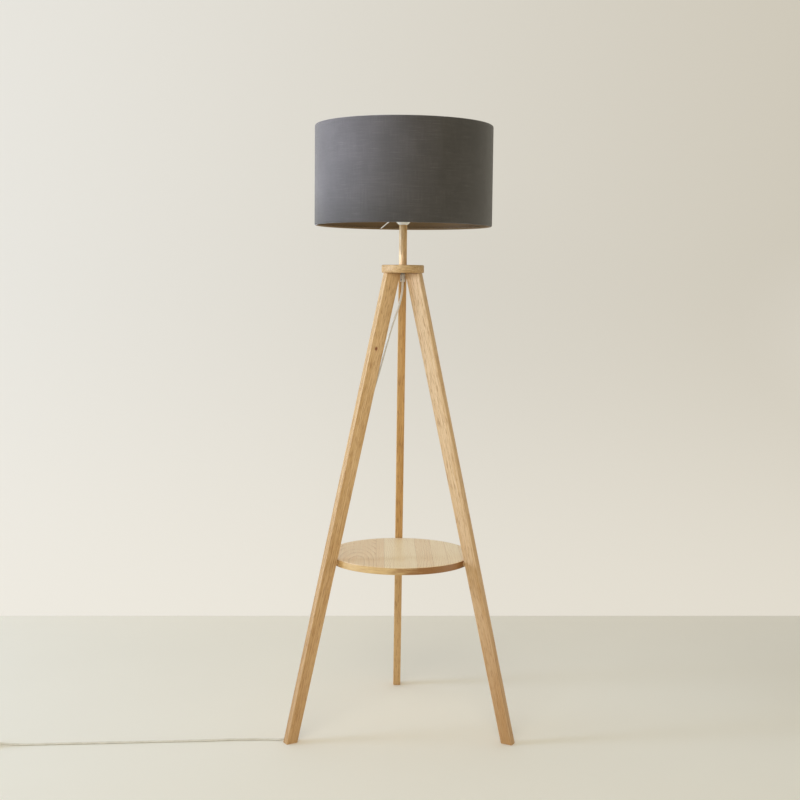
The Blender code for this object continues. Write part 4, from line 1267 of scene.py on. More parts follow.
@dataclass
class Lampholder:
    """The white lampholder, its nut and what joins it to the upright and the cord grip."""

    bottom: float = 1.2979
    shoulder: float = 1.3287
    top: float = 1.3539
    nut_bottom: float = 1.3309

    def cap_profile(self) -> np.ndarray:
        """A bowl from the upright's top out to the barrel, with a thin foot ring.

        Returns:
            Its closed section.
        """
        z = self.bottom
        return profile_of(
            (0.0054, z),
            (0.0112, z),
            arc((0.0112, z + 0.0004), 0.0004, -90, 20, 4),
            (0.0141, z + 0.0029),
            (0.0166, z + 0.0055),
            (0.0178, z + 0.0072),
            (0.0186, z + 0.0092),
            (0.0192, z + 0.0122),
            (0.0195, z + 0.0150),
            (0.0195, z + 0.0176),
            (0.0192, z + 0.0180),
            (0.0167, z + 0.0180),
            (0.0167, z + 0.0130),
            (0.0145, z + 0.0092),
            (0.0087, z + 0.0062),
            (0.0054, z + 0.0060),
        )

    def shell_profile(self) -> np.ndarray:
        """The barrel with its shoulder, on which the shade's ring rests.

        Returns:
            Its closed section.
        """
        z = self.shoulder
        return profile_of(
            (0.0168, z - 0.0125),
            arc((0.0191, z - 0.0121), 0.0004, -90, 0, 3),
            (0.0195, z - 0.0030),
            arc((0.0228, z - 0.0018), 0.0007, -90, 0, 4),
            arc((0.0228, z - 0.0007), 0.0007, 0, 90, 4),
            (0.0192, z),
            (0.0192, self.top - 0.0006),
            arc((0.0186, self.top - 0.0006), 0.0006, 0, 90, 4),
            (0.0174, self.top),
            (0.0168, self.top - 0.0008),
        )

    def nut(self) -> Patch:
        """A ring with 40 grip flutes: the rim's radius falls by a rounded cosine of the angle.

        Returns:
            The ring, closed all round.
        """
        z = self.nut_bottom
        profile = profile_of(
            (0.0199, z),
            (0.0262, z),
            arc((0.0272, z + 0.0008), 0.0008, -90, 0, 4),
            (0.0280, z + 0.0040),
            arc((0.0270, z + 0.0070), 0.0010, 0, 90, 5),
            (0.0222, z + 0.0080),
            (0.0205, z + 0.0074),
            (0.0199, z + 0.0066),
        )
        angle = np.linspace(0, 2 * np.pi, 240, endpoint=False)[:, None]
        outer = np.clip((profile[:, 0] - 0.0262) / 0.0014, 0, 1)[None]
        flutes = -0.0007 * outer * np.clip(np.cos(40 * angle), 0, 1)
        return lathe(profile, 240, True, flutes)

    def grip_profile(self) -> np.ndarray:
        """The cord grip: a collar with a soft top edge and a waisted mouth for the flex.

        Returns:
            Its closed section.
        """
        top, low = 1.1736, 1.1536
        return profile_of(
            (0.0031, low),
            (0.0046, low),
            arc((0.0050, low + 0.0014), 0.0014, -90, 0, 5),
            (0.0064, low + 0.0040),
            (0.0064, low + 0.0112),
            (0.0061, low + 0.0118),
            (0.0061, low + 0.0126),
            (0.0064, low + 0.0132),
            (0.0064, top - 0.0016),
            arc((0.0050, top - 0.0014), 0.0014, 0, 80, 5),
            (0.0052, top - 0.0002),
            (0.0052, top - 0.0084),
            (0.0031, top - 0.0084),
        )

    def build(self, shop: Workshop) -> None:
        """Makes and dresses the pieces of the head.

        Args:
            shop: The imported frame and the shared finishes.
        """
        cap, shell, grip = (
            lathe(profile, steps, True)
            for profile, steps in (
                (self.cap_profile(), 72),
                (self.shell_profile(), 72),
                (self.grip_profile(), 48),
            )
        )
        shop.add("holder_cap", [cap], Slot.WHITE, "lampholder_cap")
        shop.add("holder_shell", [shell], Slot.WHITE, "lampholder_shell")
        shop.add("ring_nut", [self.nut()], Slot.WHITE, "shade_nut", body="shade_nut")
        shop.add("flex_grip", [grip], Slot.CLEAR, "cord_grip")
        for node in ("tube_nut", "tube_washer", "threaded_tube", "cord_grip_screw"):
            shop.renew(node, "head_" + node, Slot.STEEL)
        shop.keep(Slot.WHITE, "lampholder_core")
        shop.keep(Slot.BRASS, "lampholder_screw_shell", "lampholder_centre_contact")
        shop.keep(Slot.FLEX, "flex_riser")


@dataclass
class Bulb:
    """The screw bulb."""

    cap_low: float = 1.3275
    cap_high: float = 1.3515
    neck_high: float = 1.3818
    globe_low: float = 1.3821

    def cap(self) -> Patch:
        """A thin thread shell: its radius plus a cosine of (turns of height less the angle).

        Returns:
            The shell with its thread.
        """
        profile = profile_of(
            (0.0036, 0.0008),
            (0.0048, 0.0),
            (0.0088, 0.0022),
            (0.0118, 0.0040),
            upright(0.0124, 0.0046, 0.0232, 74),
            (0.0131, 0.0237),
            (0.0131, 0.0240),
            (0.0118, 0.0240),
            (0.0116, 0.0050),
            (0.0086, 0.0032),
        )
        angle = np.linspace(0, 2 * np.pi, 72, endpoint=False)[:, None]
        height = profile[:, 1][None]
        thread = 0.0006 * np.cos(2 * np.pi * height / 0.0036 - angle)
        rows = np.arange(74)
        live = np.zeros(len(profile))
        live[4:78] = np.clip(np.minimum(rows, rows[::-1]) / 8, 0, 1)
        profile[:, 1] += self.cap_low
        return lathe(profile, 72, True, thread * live[None])

    def build(self, shop: Workshop) -> None:
        """Makes and dresses the bulb's cap, neck, globe and tip.

        Args:
            shop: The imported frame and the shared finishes.
        """
        cap = [self.cap()]
        shop.add("bulb_cap", cap, Slot.NICKEL, "bulb_screw_cap", body="bulb", sharp=60)
        low, high = self.cap_high + 0.0003, self.neck_high
        neck = profile_of(
            (0.0120, low),
            (0.0138, low),
            (0.0141, low + 0.0010),
            (0.0150, low + 0.0045),
            (0.0185, low + 0.0110),
            (0.0235, low + 0.0185),
            (0.0270, high - 0.0045),
            (0.0280, high - 0.0008),
            (0.0277, high),
            (0.0262, high),
            (0.0250, high - 0.0035),
            (0.0165, low + 0.0115),
            (0.0120, low + 0.0040),
        )
        collar = [lathe(neck, 64, True)]
        shop.add("bulb_collar", collar, Slot.WHITE, "bulb_neck", body="bulb", sharp=40)
        middle = self.globe_low + 0.0235
        turn = np.radians(np.linspace(90, -52, 26))
        outer = np.stack([0.030 * np.cos(turn), middle + 0.030 * np.sin(turn)], axis=1)
        outer[0, 0] = 0.0
        upper = outer[outer[:, 1] > self.globe_low + 0.011]
        inner = (upper - [0, middle]) * 0.955 + [0, middle]
        inner[0, 0] = 0.0
        low = self.globe_low
        dome = [lathe(profile_of(upper, (0.0272, low), (0.0258, low), inner[::-1]), 64)]
        shop.add("bulb_dome", dome, Slot.OPAL, "bulb_globe", body="bulb", sharp=40)
        shop.renew("bulb_tip", "bulb_contact", Slot.NICKEL, "bulb")


# ---------------------------------------------------------------- shade


@dataclass
class Shade:
    """The drum shade: cloth over film, stiffened by two wire hoops."""

    radius: float = 0.225
    low: float = 1.2944
    height: float = 0.250
    roll: float = 0.0034
    cloth: float = 0.0006
    hem: float = 0.0046
    wire_radius: float = 0.2216
    wire: float = 0.0015
    film_outside: float = 0.0009
    film_inside: float = 0.0014
    film_end: float = 0.0016
    fold: float = 0.0004
    lap_angle: float = 90.0
    lap_height: float = 0.0004
    arm_azimuth: float = 105.0
    arm_radius: float = 0.0014
    arm_start: float = 0.0285
    arm_bend: float = 0.036
    arm_softness: float = 0.003
    hub_height: float = 1.3298
    steps: int = 192

    def cover(self) -> Patch:
        """The cloth: a wall with a half-round roll at each rim and a short hem inside.

        Returns:
            The skin of the cloth, its pattern upright on the wall.
        """
        high, roll = self.low + self.height, self.roll

        def line(off: float) -> np.ndarray:
            """The cloth's section, moved inwards by an offset.

            Args:
                off: How far inwards.

            Returns:
                The section, from its lower hem to its upper one.
            """
            centre, curl = self.radius - roll, roll - off
            inner = self.radius - 2 * roll + off
            return profile_of(
                arc((centre, self.low + roll), curl, 266, 360, 9),
                upright(self.radius - off, self.low + 0.010, high - 0.010, 14),
                arc((centre, high - roll), curl, 0, 180, 12),
                (inner, high - roll - 0.001),
                (inner, high - self.hem),
            )

        profile = profile_of(line(0.0), line(self.cloth)[::-1])
        angle = np.linspace(0, 2 * np.pi, self.steps, endpoint=False)[:, None]
        outside = (profile[:, 0] > self.radius - 0.0016)[None]
        starts, ends = math.radians(self.lap_angle), math.radians(self.lap_angle + 5)
        lap = np.clip((angle - starts) / math.radians(1.0), 0, 1)
        lap = lap * np.clip((ends - angle) / math.radians(3.0), 0, 1)
        patch = lathe(profile, self.steps, True, self.lap_height * lap * outside)
        patch.flat[:, :-1, 1] = profile[:, 1][None]
        patch.flat[:, -1, 1] = profile[0, 1]
        return patch

    def binding(self) -> Patch:
        """The film's folded end round the lower hoop: a quarter circle and a short upright.

        Returns:
            The fold, closed all round.
        """
        roll = self.roll

        def line(off: float) -> np.ndarray:
            """The fold's section, moved towards the hoop by an offset.

            Args:
                off: How far towards the hoop.

            Returns:
                The section, from its hem to its end.
            """
            inner = self.radius - 2 * roll + off
            centre = (self.radius - roll, self.low + roll)
            return profile_of(
                (inner, self.low + self.hem), arc(centre, roll - off, 180, 265, 9)
            )

        return lathe(profile_of(line(0.0), line(self.fold)[::-1]), self.steps, True)

    def liner(self) -> Patch:
        """The film just inside the cloth.

        Returns:
            The film's two skins and its ends.
        """
        low, high = self.low + self.film_end, self.low + self.height - self.film_end
        outer, inner = self.radius - self.film_outside, self.radius - self.film_inside
        profile = profile_of(upright(outer, low, high, 10), upright(inner, low, high, 10)[::-1])
        return lathe(profile, self.steps, True)

    def hoop(self, height: float) -> Patch:
        """A torus: a small circle carried round a large one."""
        profile = arc((self.wire_radius, height), self.wire, 0, 330, 12)
        return lathe(profile, 144, True)

    def arm(self, azimuth: float) -> Patch:
        """A wire that leaves the hub level, bends, and runs straight down to the hoop.

        The drop is slope (sqrt(d ** 2 + s ** 2) + d) / 2 with d the distance past the bend.

        Args:
            azimuth: Its direction in degrees.

        Returns:
            The wire's skin.
        """
        reach = np.linspace(self.arm_start, self.wire_radius, 40)
        past = reach - self.arm_bend
        bend = (np.sqrt(past**2 + self.arm_softness**2) + past) / 2
        wire_height = self.low + 0.0008 + 0.0003 + self.wire
        height = self.hub_height - bend * (self.hub_height - wire_height) / bend[-1]
        turn = math.radians(azimuth)
        path = np.stack(
            [reach * math.cos(turn), AXIS_Y + reach * math.sin(turn), height], axis=1
        )
        return tube(path, self.arm_radius, 12)

    def build(self, shop: Workshop) -> None:
        """Makes and dresses the cloth, film, hoops, arms and hub.

        Args:
            shop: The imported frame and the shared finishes.
        """
        soft = {"body": "shade", "sharp": 60}
        cover = shop.add("shade_cloth", [self.cover()], Slot.LINEN, "shade_cover", **soft)
        film = [self.liner(), self.binding()]
        liner = shop.add("shade_backing", film, Slot.FILM, "shade_liner", **soft)
        self.height + 0.022
        top = [self.hoop(self.low + self.height - self.roll)]
        shop.add("shade_top_hoop", top, Slot.ENAMEL, "shade_top_ring", body="shade")
        hub = self.hub_height
        ring = profile_of(
            arc((0.0204, hub), 0.0007, 270, 90, 5),
            arc((0.0308, hub), 0.0007, 90, -90, 5),
        )
        patches = [self.hoop(self.low + self.roll), lathe(ring, 72, True)]
        patches += [self.arm(self.arm_azimuth + 120 * k) for k in range(3)]
        shop.add("shade_spider", patches, Slot.ENAMEL, "shade_carrier", body="shade")


# ---------------------------------------------------------------- flex


@dataclass
class Flex:
    """The mains flex: down the front left leg to the foot switch, then coil and plug."""

    radius: float = 0.0028
    coil_centre: tuple[float, float] = (-1.1124, -0.095)
    coil_outer: float = 0.0368
    low: float = 0.0031
    high: float = 0.0089
    band_radius: float = 0.0301
    band_half: tuple[float, float] = (0.0106, 0.0059)
    band_height: float = 0.0061
    band_angle: float = 9.0
    to_switch: list[tuple[float, float, float]] = field(
        default_factory=lambda: [
            (0.0000, 0.0000, 1.1530),
            (-0.0005, -0.0002, 1.1350),
            (-0.0033, -0.0012, 1.1160),
            (-0.0103, -0.0034, 1.0895),
            (-0.0268, -0.0086, 1.0396),
            (-0.0434, -0.0142, 0.9805),
            (-0.0548, -0.0186, 0.9380),
            (-0.0685, -0.0251, 0.8900),
            (-0.0851, -0.0338, 0.8380),
            (-0.1024, -0.0438, 0.7870),
            (-0.1134, -0.0501, 0.7500),
            (-0.1201, -0.0540, 0.7200),
            (-0.1455, -0.0688, 0.6000),
            (-0.1774, -0.0872, 0.4500),
            (-0.2092, -0.1055, 0.3000),
            (-0.2411, -0.1239, 0.1500),
            (-0.2560, -0.1325, 0.0800),
            (-0.2632, -0.1366, 0.0450),
            (-0.2705, -0.1402, 0.0220),
            (-0.2815, -0.1436, 0.0085),
            (-0.2980, -0.1452, 0.0040),
            (-0.3120, -0.1438, 0.0031),
            (-0.3280, -0.1422, 0.0031),
            (-0.4000, -0.1442, 0.0031),
            (-0.5000, -0.1533, 0.0031),
            (-0.6822, -0.1668, 0.0031),
            (-0.8433, -0.1783, 0.0031),
            (-0.9450, -0.1864, 0.0035),
            (-0.9850, -0.1893, 0.0065),
            (-1.0095, -0.1905, 0.0085),
        ]
    )
    to_coil: list[tuple[float, float, float]] = field(
        default_factory=lambda: [
            (-1.1045, -0.1905, 0.0085),
            (-1.1180, -0.1893, 0.0062),
            (-1.1330, -0.1815, 0.0036),
            (-1.1445, -0.1660, 0.0031),
            (-1.1488, -0.1440, 0.0031),
            (-1.1491, -0.1168, 0.0031),
        ]
    )

    def coil(self) -> np.ndarray:
        """The coil's middle line, from the axis: in on the floor, up, and out on top.

        After t turns the angle is 180 - 360 t degrees. The radius falls by a flex's width a turn
        on the floor, and grows again on top once the flex has climbed one flex higher.

        Returns:
            The points, from the axis.
        """
        t = np.linspace(0.04, 3.97, 190)
        fall = self.coil_outer - 0.0057 * np.minimum(t, 2.45)
        ramp = np.clip((t - 2.30) / 1.67, 0, 1)
        radius = fall + 0.0111 * (3 * ramp**2 - 2 * ramp**3) * 0.35 + 0.0111 * ramp * 0.65
        climb = np.clip((t - 1.98) / 0.45, 0, 1)
        height = self.low + (self.high - self.low) * (3 * climb**2 - 2 * climb**3)
        angle = np.pi - 2 * np.pi * t
        x, y = self.coil_centre
        return np.stack([x + radius * np.cos(angle), y + radius * np.sin(angle), height], axis=1)

    def tail(self) -> np.ndarray:
        """The whole line from the switch through the coil to the plug.

        Returns:
            The line, evenly smooth.
        """
        out = [(-1.1466, -0.0790, 0.0090), (-1.1466, -0.0690, 0.0084), (-1.1465, -0.0453, 0.0071)]
        route = [*self.to_coil, *map(tuple, self.coil()[::3]), *out]
        return smooth_path(route, 0.0025)

    def boot(self, path: np.ndarray, wide: float, narrow: float) -> Patch:
        """A tapered, ribbed sleeve: the radius falls evenly, plus a small cosine for the ribs.

        Args:
            path: The flex's line, away from the housing.
            wide: The radius at the housing.
            narrow: The radius at the far end.

        Returns:
            The sleeve's skin.
        """
        share = run_of(path) / run_of(path)[-1]
        radii = wide + (narrow - wide) * share
        radii = radii + 0.00035 * np.cos(share * 2 * np.pi * 6.5) * np.clip(6 * (1 - share), 0, 1)
        runs_along_x = abs(path[0, 0] - path[-1, 0]) > 0.01
        return tube(path, radii, 24, (0, 1, 0) if runs_along_x else (1, 0, 0))

    def tie(self) -> Patch:
        """A band over the coil: a rounded oblong round the turns' section, carried along them.

        The rows run along its outside and back along its inside, which closes both its ends.

        Returns:
            The band's skin.
        """
        x, y = self.coil_centre
        half_r, half_z = self.band_half
        outer = rounded_oblong(half_r, half_z, 0.0035, 5)[0]
        inner = rounded_oblong(half_r - 0.0005, half_z - 0.0004, 0.0031, 5)[0]
        angle = np.radians(np.linspace(-self.band_angle, self.band_angle, 7))
        angle = np.concatenate([angle, angle[::-1]])[:, None]
        section = np.concatenate([np.tile(outer, (7, 1, 1)), np.tile(inner, (7, 1, 1))])
        reach = self.band_radius + section[:, :, 0]
        points = np.stack(
            [
                x + reach * np.cos(angle),
                AXIS_Y + y + reach * np.sin(angle),
                self.band_height + section[:, :, 1],
            ],
            axis=2,
        )
        flat = grid(np.linspace(0, 0.02, 15), np.linspace(0, 0.03, 21))
        return Patch(points, flat, True, True)

    def build(self, shop: Workshop) -> list[bpy.types.Object]:
        """Makes and dresses both lengths of flex, the boots, the tie and the clips.

        Args:
            shop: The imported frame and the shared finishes.

        Returns:
            The flex to the switch, the flex to the plug, and the small pieces on the second.
        """
        first = smooth_path(self.to_switch, 0.0050)
        line = [tube(first, self.radius, 14, (0, 1, 0))]
        lead = shop.add("flex_lamp_side", line, Slot.FLEX, "flex_to_switch", sharp=60)
        second = self.tail()
        line, nodes = [tube(second, self.radius, 14)], ("flex_to_coil", "flex_coil", "flex_to_plug")
        rest = shop.add("flex_plug_side", line, Slot.FLEX, *nodes, sharp=60)
        ends = (("boot_lamp_side", first[::-1]), ("boot_plug_side", second))
        boots = []
        for name, line in ends:
            near = evenly(line[: int(0.023 / np.linalg.norm(line[1] - line[0])) + 1], 0.0006)
            boots.append(shop.add(name, [self.boot(near, 0.0052, 0.0036)], Slot.WHITE, sharp=60))
        tie = self.strap(shop)
        for place in ("top", "middle", "bottom"):
            shop.renew("cord_clip_" + place, "saddle_" + place, Slot.WHITE)
            shop.renew("clip_nail_" + place, "nail_" + place, Slot.STEEL)
        self.first, self.second = first, second
        return [lead, rest, boots[0], boots[1], tie]

    def strap(self, shop: Workshop) -> bpy.types.Object:
        """Makes and dresses the band that holds the coil.

        Args:
            shop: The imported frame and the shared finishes.

        Returns:
            The band.
        """
        dark = Moulded(srgb(96, 96, 98), srgb(80, 80, 82), 0.6, 1800.0, 0.0001)
        fabric = dark.material("tie_fabric")
        return shop.add("coil_tie", [self.tie()], Slot.FLEX, sharp=40, material=fabric)


@dataclass
class FootSwitch:
    """The in-line foot switch."""

    centre: tuple[float, float] = (-1.057, -0.1905)
    length: float = 0.094
    width: float = 0.050
    height: float = 0.0235
    split: float = 0.0085
    button: float = 0.0128

    def outline(self, inset: np.ndarray, height: np.ndarray, columns: int = 96) -> np.ndarray:
        """Bars with half-round ends, each drawn in by an inset and set at a height.

        Args:
            inset: How far each one is drawn in.
            height: Its height.
            columns: How many points on each.

        Returns:
            The outlines, (rows, columns, 3).
        """
        half = (self.length - self.width) / 2
        turn = np.linspace(-np.pi / 2, np.pi / 2, columns // 2)
        shift = np.concatenate([np.full(columns // 2, half), np.full(columns // 2, -half)])
        angle = np.concatenate([turn, turn + np.pi])
        reach = (self.width / 2 - inset)[:, None]
        x = self.centre[0] + shift[None] + reach * np.cos(angle)[None]
        y = AXIS_Y + self.centre[1] + reach * np.sin(angle)[None]
        return np.stack([x, y, np.broadcast_to(height[:, None], x.shape)], axis=2)

    def base(self) -> Patch:
        """The tray: rounded under, straight up to the joint.

        Returns:
            The tray, open at its joint.
        """
        turn = np.radians(np.linspace(0, 90, 6))
        inset = np.concatenate([0.0018 * (1 - np.sin(turn)), [0.0, 0.0002]])
        rise = 0.0002 + 0.0018 * (1 - np.cos(turn))
        height = np.concatenate([rise, [self.split - 0.0003, self.split]])
        return loft(self.outline(inset, height))

    def cover(self) -> Patch:
        """The lid: rounded over, with its top drawn in to a round hole for the button.

        Returns:
            The lid with its turned-in edge.
        """
        turn = np.radians(np.linspace(0, 90, 10))
        bulge = 0.0060
        low = self.split + 0.0003
        inset = np.concatenate([[0.0015, 0.0002, 0.0], bulge * (1 - np.cos(turn)) + 0.0002])
        height = np.concatenate(
            [[low, low, low + 0.0003], self.height - 0.0006 - bulge + bulge * np.sin(turn)]
        )
        rows = self.outline(inset, height)
        middle = np.array([self.centre[0], AXIS_Y + self.centre[1], 0.0])
        last = rows[-1] - middle
        angle = np.arctan2(last[:, 1], last[:, 0])
        hole = np.stack([np.cos(angle), np.sin(angle), np.zeros_like(angle)], axis=1)
        hole_radius = self.button + 0.0005
        rim = middle + hole * (hole_radius + 0.0016)
        rim[:, 2] = self.height
        share = np.linspace(0, 1, 8)[1:, None, None]
        top = rows[-1][None] * (1 - share) + rim[None] * share
        top[:, :, 2] = rows[-1][0, 2] + 0.0006 * (share[:, :, 0] * (2 - share[:, :, 0]))
        edge = []
        for radius, height_at in ((0.0008, 0.0), (0.0002, -0.0003), (0.0, -0.0010), (0.0, -0.0030)):
            ring = middle + hole * (hole_radius + radius)
            ring[:, 2] = self.height + height_at
            edge.append(ring)
        inner = self.outline(np.array([0.0015]), np.array([self.height - 0.0030]))
        points = np.concatenate([rows, top, np.stack(edge), inner])
        flat = grid(np.arange(len(points)) * 0.001, np.linspace(0, 0.24, 97))
        flat = np.concatenate([flat, flat[:1]])
        return Patch(points, flat, True, True)

    def cap(self) -> Patch:
        """The round button: a shallow dish with a raised, rounded rim and a skirt below.

        Returns:
            The button.
        """
        top = self.height + 0.0042
        profile = profile_of(
            (0.0, top - 0.0012),
            (0.0050, top - 0.0010),
            (0.0084, top - 0.0004),
            (0.0100, top - 0.0001),
            arc((0.0108, top - 0.0020), 0.0020, 80, 0, 8),
            (self.button, top - 0.0060),
            (self.button + 0.0018, self.height - 0.0024),
            (self.button + 0.0018, self.height - 0.0038),
            (0.0030, self.height - 0.0038),
            (0.0030, self.height - 0.0072),
            (0.0, self.height - 0.0072),
        )
        return lathe(profile, 72, centre=(self.centre[0], AXIS_Y + self.centre[1]))

    def build(self, shop: Workshop) -> list[bpy.types.Object]:
        """Makes and dresses the switch.

        Args:
            shop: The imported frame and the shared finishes.

        Returns:
            Its pieces.
        """
        made = [
            shop.add("foot_" + node, [patch], Slot.WHITE, node, body=body, sharp=40)
            for node, patch, body in (
                ("switch_base", self.base(), "stand"),
                ("switch_cover", self.cover(), "stand"),
                ("switch_button", self.cap(), "foot_button"),
            )
        ]
        shop.keep(Slot.BRASS, "switch_bridge")
        for side in ("lamp_side", "plug_side"):
            made.append(shop.renew("switch_screw_" + side, "base_screw_" + side, Slot.STEEL))
        return made


@dataclass
class Plug:
    """The flat two-pin plug."""

    place: tuple[float, float, float] = (-1.1465, -0.045, 0.0071)
    pin_spacing: float = 0.0190
    pin_radius: float = 0.0020

    def body(self) -> Patch:
        """One skin of round-cornered oblongs: a ribbed relief that widens into a flat body.

        Returns:
            The skin.
        """
        relief = np.linspace(0, 0.0215, 44)
        swell = np.linspace(0.0, 1.0, 12)
        ease = swell * swell * (3 - 2 * swell)
        tail = np.radians(np.linspace(0, 90, 6))
        flank, end = [0.036, 0.046, 0.0555], 0.0572 + 0.0018 * np.sin(tail)
        along = np.concatenate([relief, 0.0222 + 0.0085 * swell, flank, end])
        rib = 0.0042 + 0.0017 * relief / 0.0215 + 0.00032 * np.cos(2 * np.pi * relief / 0.0036)
        drawn = 0.0018 * (1 - np.cos(tail))

        def size(growth: float, full: float) -> np.ndarray:
            """A size along the plug: the ribs, then its growth to the full one, drawn in last."""
            return np.concatenate([rib, 0.0059 + growth * ease, np.full(3, full), full - drawn])

        half_x, half_z, corner = size(0.0111, 0.0170), size(0.00095, 0.00685), size(-0.0009, 0.0050)
        outline = rounded_oblong(half_x, half_z, corner * 0.9999, 8)
        x, y, z = self.place
        points = np.stack(
            [
                x + outline[:, :, 0],
                np.broadcast_to(AXIS_Y + y + along[:, None], outline.shape[:2]),
                z + outline[:, :, 1],
            ],
            axis=2,
        )
        return loft(points)

    def pin(self, side: int) -> Patch:
        """A round pin with a domed tip; its half nearer the body wears a sleeve.

        Args:
            side: -1 for the left pin, 1 for the right one.

        Returns:
            The pin with its sleeve.
        """
        x, y, z = self.place
        start = AXIS_Y + y + 0.0515
        end = AXIS_Y + y + 0.0780
        sleeve = start + 0.0170
        tip = [end - 0.0016, end - 0.0008, end - 0.0002, end]
        run = np.array([start, sleeve, sleeve + 0.0002, *tip])
        radii = np.array([1.0, 1.0, 0.93, 0.93, 0.80, 0.5, 0.15]) * self.pin_radius
        path = np.stack(
            [np.full(7, x + side * self.pin_spacing / 2), run, np.full(7, z)], axis=1
        )
        return tube(path, radii, 24)

    def build(self, shop: Workshop) -> list[bpy.types.Object]:
        """Makes and dresses the plug.

        Args:
            shop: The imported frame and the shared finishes.

        Returns:
            Its pieces.
        """
        made = [shop.add("mains_plug", [self.body()], Slot.WHITE, "plug_body", sharp=50)]
        for name, side in (("left", -1), ("right", 1)):
            pin, node = [self.pin(side)], "plug_pin_" + name
            made.append(shop.add("mains_pin_" + name, pin, Slot.NICKEL, node, sharp=50))
        return made


# ---------------------------------------------------------------- studio


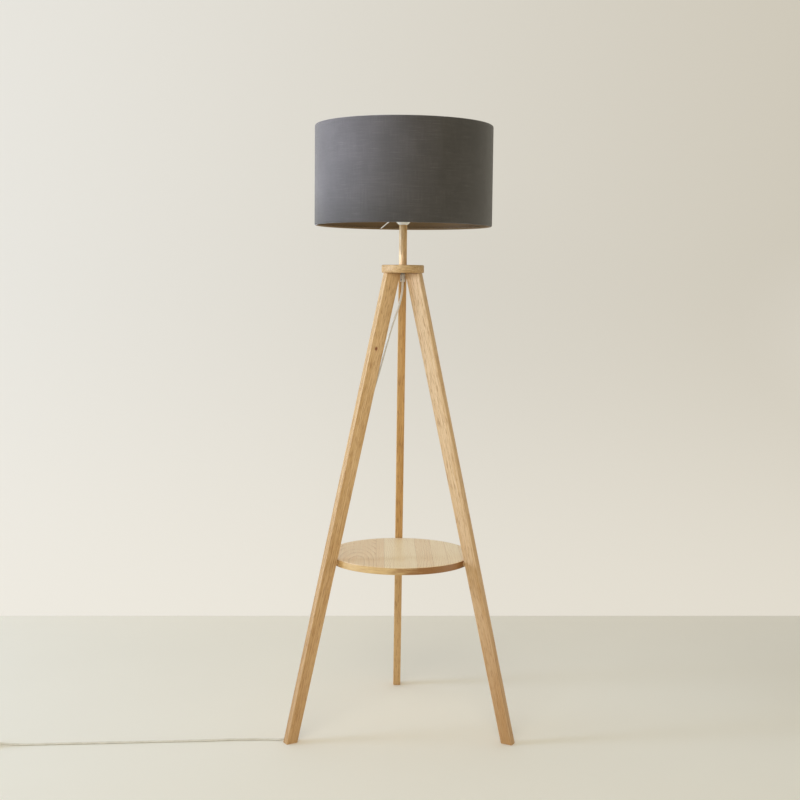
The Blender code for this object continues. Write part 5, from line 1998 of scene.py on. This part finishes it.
@dataclass
class Studio:
    """Floor, backdrop, lights and camera."""

    camera_place: Colour = (-0.0583, -3.28855, 1.1515)
    camera_aim: Colour = (0.016746, 0.995570, -0.092524)
    camera_roll: float = 0.00993
    lens: float = 56.81
    floor_colour: Colour = srgb(247, 244, 236)
    floor_reach: float = 9.0
    wall_reach: float = 7.0
    wall_ends: tuple[float, float] = (0.857, 1.152)
    # The colours of the backdrop's painted glow at its left and right ends.
    wall_left: Colour = (0.69, 0.675, 0.635)
    wall_right: Colour = (0.495, 0.455, 0.375)

    def stand(self, name: str, corners: list[Colour], g: Graph) -> None:
        """A flat stage piece.

        Args:
            name: Its name.
            corners: Its four corners.
            g: Its material's graph, with the shader fed.
        """
        mesh = bpy.data.meshes.new(name)
        mesh.from_pydata(corners, [], [(0, 1, 2, 3)])
        mesh.materials.append(g.material)
        added(name, mesh)

    def floor(self) -> None:
        """A matt floor, slightly mottled, with painted shade darkening it towards the right and the
        back.
        """
        g = Graph("floor")
        here = g.here()
        x, y, _ = g.split(here)
        # Painted shade: the floor is darkened towards +X and +Y; only the noise is real mottling.
        far = g.step(x, -0.3, 1.6) * g.step(y, -0.9, 0.7)
        mottle_and_painted_shade = g.noise(here, 3.0, 4.0) * 0.025 + far * 0.10
        colour = g.mix(self.floor_colour, (0.0, 0.0, 0.0), mottle_and_painted_shade)
        g.close(Base_Color=colour, Roughness=0.85, Specular_IOR_Level=0.1)
        reach = self.floor_reach
        corners = [(x, y, 0.0) for x, y in ((-1, -1), (1, -1), (1, 1), (-1, 1))]
        self.stand("floor", [(x * reach, y * reach, z) for x, y, z in corners], g)

    def wall(self) -> None:
        """A backdrop whose emission paints light on it, brighter at its left and near the floor; it
        can be seen through from behind.
        """
        g = Graph("wall")
        x, _, z = g.split(g.here())
        # Painted light: the emission falls off from left to right and brightens towards the floor.
        across = g.step(x, -2.3, 2.3)
        colour = g.mix(self.wall_left, self.wall_right, across)
        low = 1.0 - g.step(z, -0.1, 1.25)
        painted_glow = g.mix(colour, (0.76, 0.72, 0.64), low * 0.58)
        g.close(
            Base_Color=(0.15, 0.147, 0.14),
            Roughness=0.9,
            Specular_IOR_Level=0.1,
            Emission_Color=painted_glow,
            Emission_Strength=1.0,
        )
        see = Sock(g, g.node("ShaderNodeBsdfTransparent").outputs[0])
        back = Sock(g, g.node("ShaderNodeNewGeometry").outputs["Backfacing"])
        front = Sock(g, g.shader.outputs[0])
        both = g.node("ShaderNodeMixShader", i0=back, i1=front, i2=see)
        g.tree.links.new(both.outputs[0], g.output.inputs[0])
        reach, (left, right) = self.wall_reach, self.wall_ends
        low = [(-reach, left, 0.0), (reach, right, 0.0)]
        high = [(x, y, reach) for x, y, _ in reversed(low)]
        self.stand("wall", low + high, g)

    def light(
        self,
        name: str,
        kind: str,
        place: Colour,
        aim: Colour,
        watts: float,
        tint: Colour,
        **shape: float,
    ) -> None:
        """A soft light.

        Args:
            name: Its name.
            kind: AREA or SPOT.
            place: Where it stands.
            aim: What it points at.
            watts: Its power.
            tint: Its colour.
            **shape: Its size, cone and the like.
        """
        lamp = bpy.data.lights.new(name, kind)
        lamp.energy = watts
        lamp.color = tint
        for key, value in shape.items():
            setattr(lamp, key, value)
        made = added(name, lamp)
        made.location = place
        made.rotation_euler = (Vector(aim) - Vector(place)).to_track_quat("-Z", "Y").to_euler()

    def camera(self) -> None:
        """The camera at eye height in front, rolled by half a degree."""
        aim = np.asarray(self.camera_aim)
        right = unit(np.cross(aim, [0, 0, 1]))
        up = np.cross(right, aim)
        cos, sin = math.cos(self.camera_roll), math.sin(self.camera_roll)
        axes = np.stack([cos * right + sin * up, cos * up - sin * right, -aim], axis=1)
        made = added("camera", bpy.data.cameras.new("camera"))
        made.data.lens = self.lens
        made.data.clip_end = 60
        made.matrix_world = Matrix.Translation(self.camera_place) @ Matrix(axes.tolist()).to_4x4()
        bpy.context.scene.camera = made

    def build(self) -> None:
        """Sets up the whole studio."""
        scene = bpy.context.scene
        scene.view_settings.view_transform = "Standard"
        self.wall()
        self.floor()
        cool, warm, pale_blue = (0.56, 0.73, 1.0), (1.0, 0.95, 0.80), (0.76, 0.79, 1.0)
        self.light("side", "AREA", (-4.0, -0.60, 1.2), (0.0, -0.05, 0.6), 62.0, cool, size=1.5)
        self.light("front", "AREA", (-0.9, -4.3, 3.1), (0.0, -0.05, 0.75), 76.0, warm, size=3.0)
        self.light(
            "upper", "SPOT", (-3.8, -0.60, 1.5), (0.0, -0.05, 1.1), 300.0, cool,
            spot_size=math.radians(36.0), spot_blend=1.0, shadow_soft_size=0.4,
        )
        self.light(
            "accent", "SPOT", (-3.02, -1.546, 2.35), (-0.04, -0.06, 1.485), 850.0, pale_blue,
            spot_size=math.radians(8.2), spot_blend=0.15, shadow_soft_size=0.1,
        )
        self.light(
            "fill", "SPOT", (4.2, -0.60, 0.5), (0.15, -0.20, 0.62), 98.0, (0.98, 1.0, 0.94),
            spot_size=math.radians(20.0), spot_blend=0.5, shadow_soft_size=0.25,
        )
        world = bpy.data.worlds.new("studio")
        world.use_nodes = True
        sky = world.node_tree.nodes["Background"]
        sky.inputs[0].default_value = (0.90, 0.87, 0.74, 1.0)
        sky.inputs[1].default_value = 0.50
        scene.world = world
        self.camera()


# ---------------------------------------------------------------- the whole lamp


def main() -> None:
    """Builds the studio and every sub-assembly, and logs how long the two lengths of flex are."""
    logging.basicConfig(level=logging.INFO, format="%(name)s: %(message)s")
    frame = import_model()
    Studio().build()
    shop = Workshop(frame["nodes"])
    shop.mix_finishes()
    flex = Flex()
    parts = flex.build(shop)
    switch = FootSwitch().build(shop)
    plug = Plug().build(shop)
    lean, knot_height = math.radians(13.56), 0.984
    knot = (0.004, 0.010, knot_height / math.cos(lean))
    rosy = (srgb(222, 191, 149), srgb(203, 164, 112))
    brown = (srgb(214, 170, 108), srgb(194, 147, 84))
    Leg("front_left", 210.0, 0.0, knot=knot).build(shop)
    Leg("front_right", 330.0, 1.0, rosy, 0.56).build(shop)
    Leg("rear", 90.0, 2.0, brown, 0.55, srgb(214, 180, 134)).build(shop)
    HeadDisc().build(shop)
    Shelf().build(shop)
    Lampholder().build(shop)
    Bulb().build(shop)
    Shade().build(shop)
    log.info("flex: %.3f m and %.3f m", run_of(flex.first)[-1], run_of(flex.second)[-1])


if __name__ == "__main__":
    main()
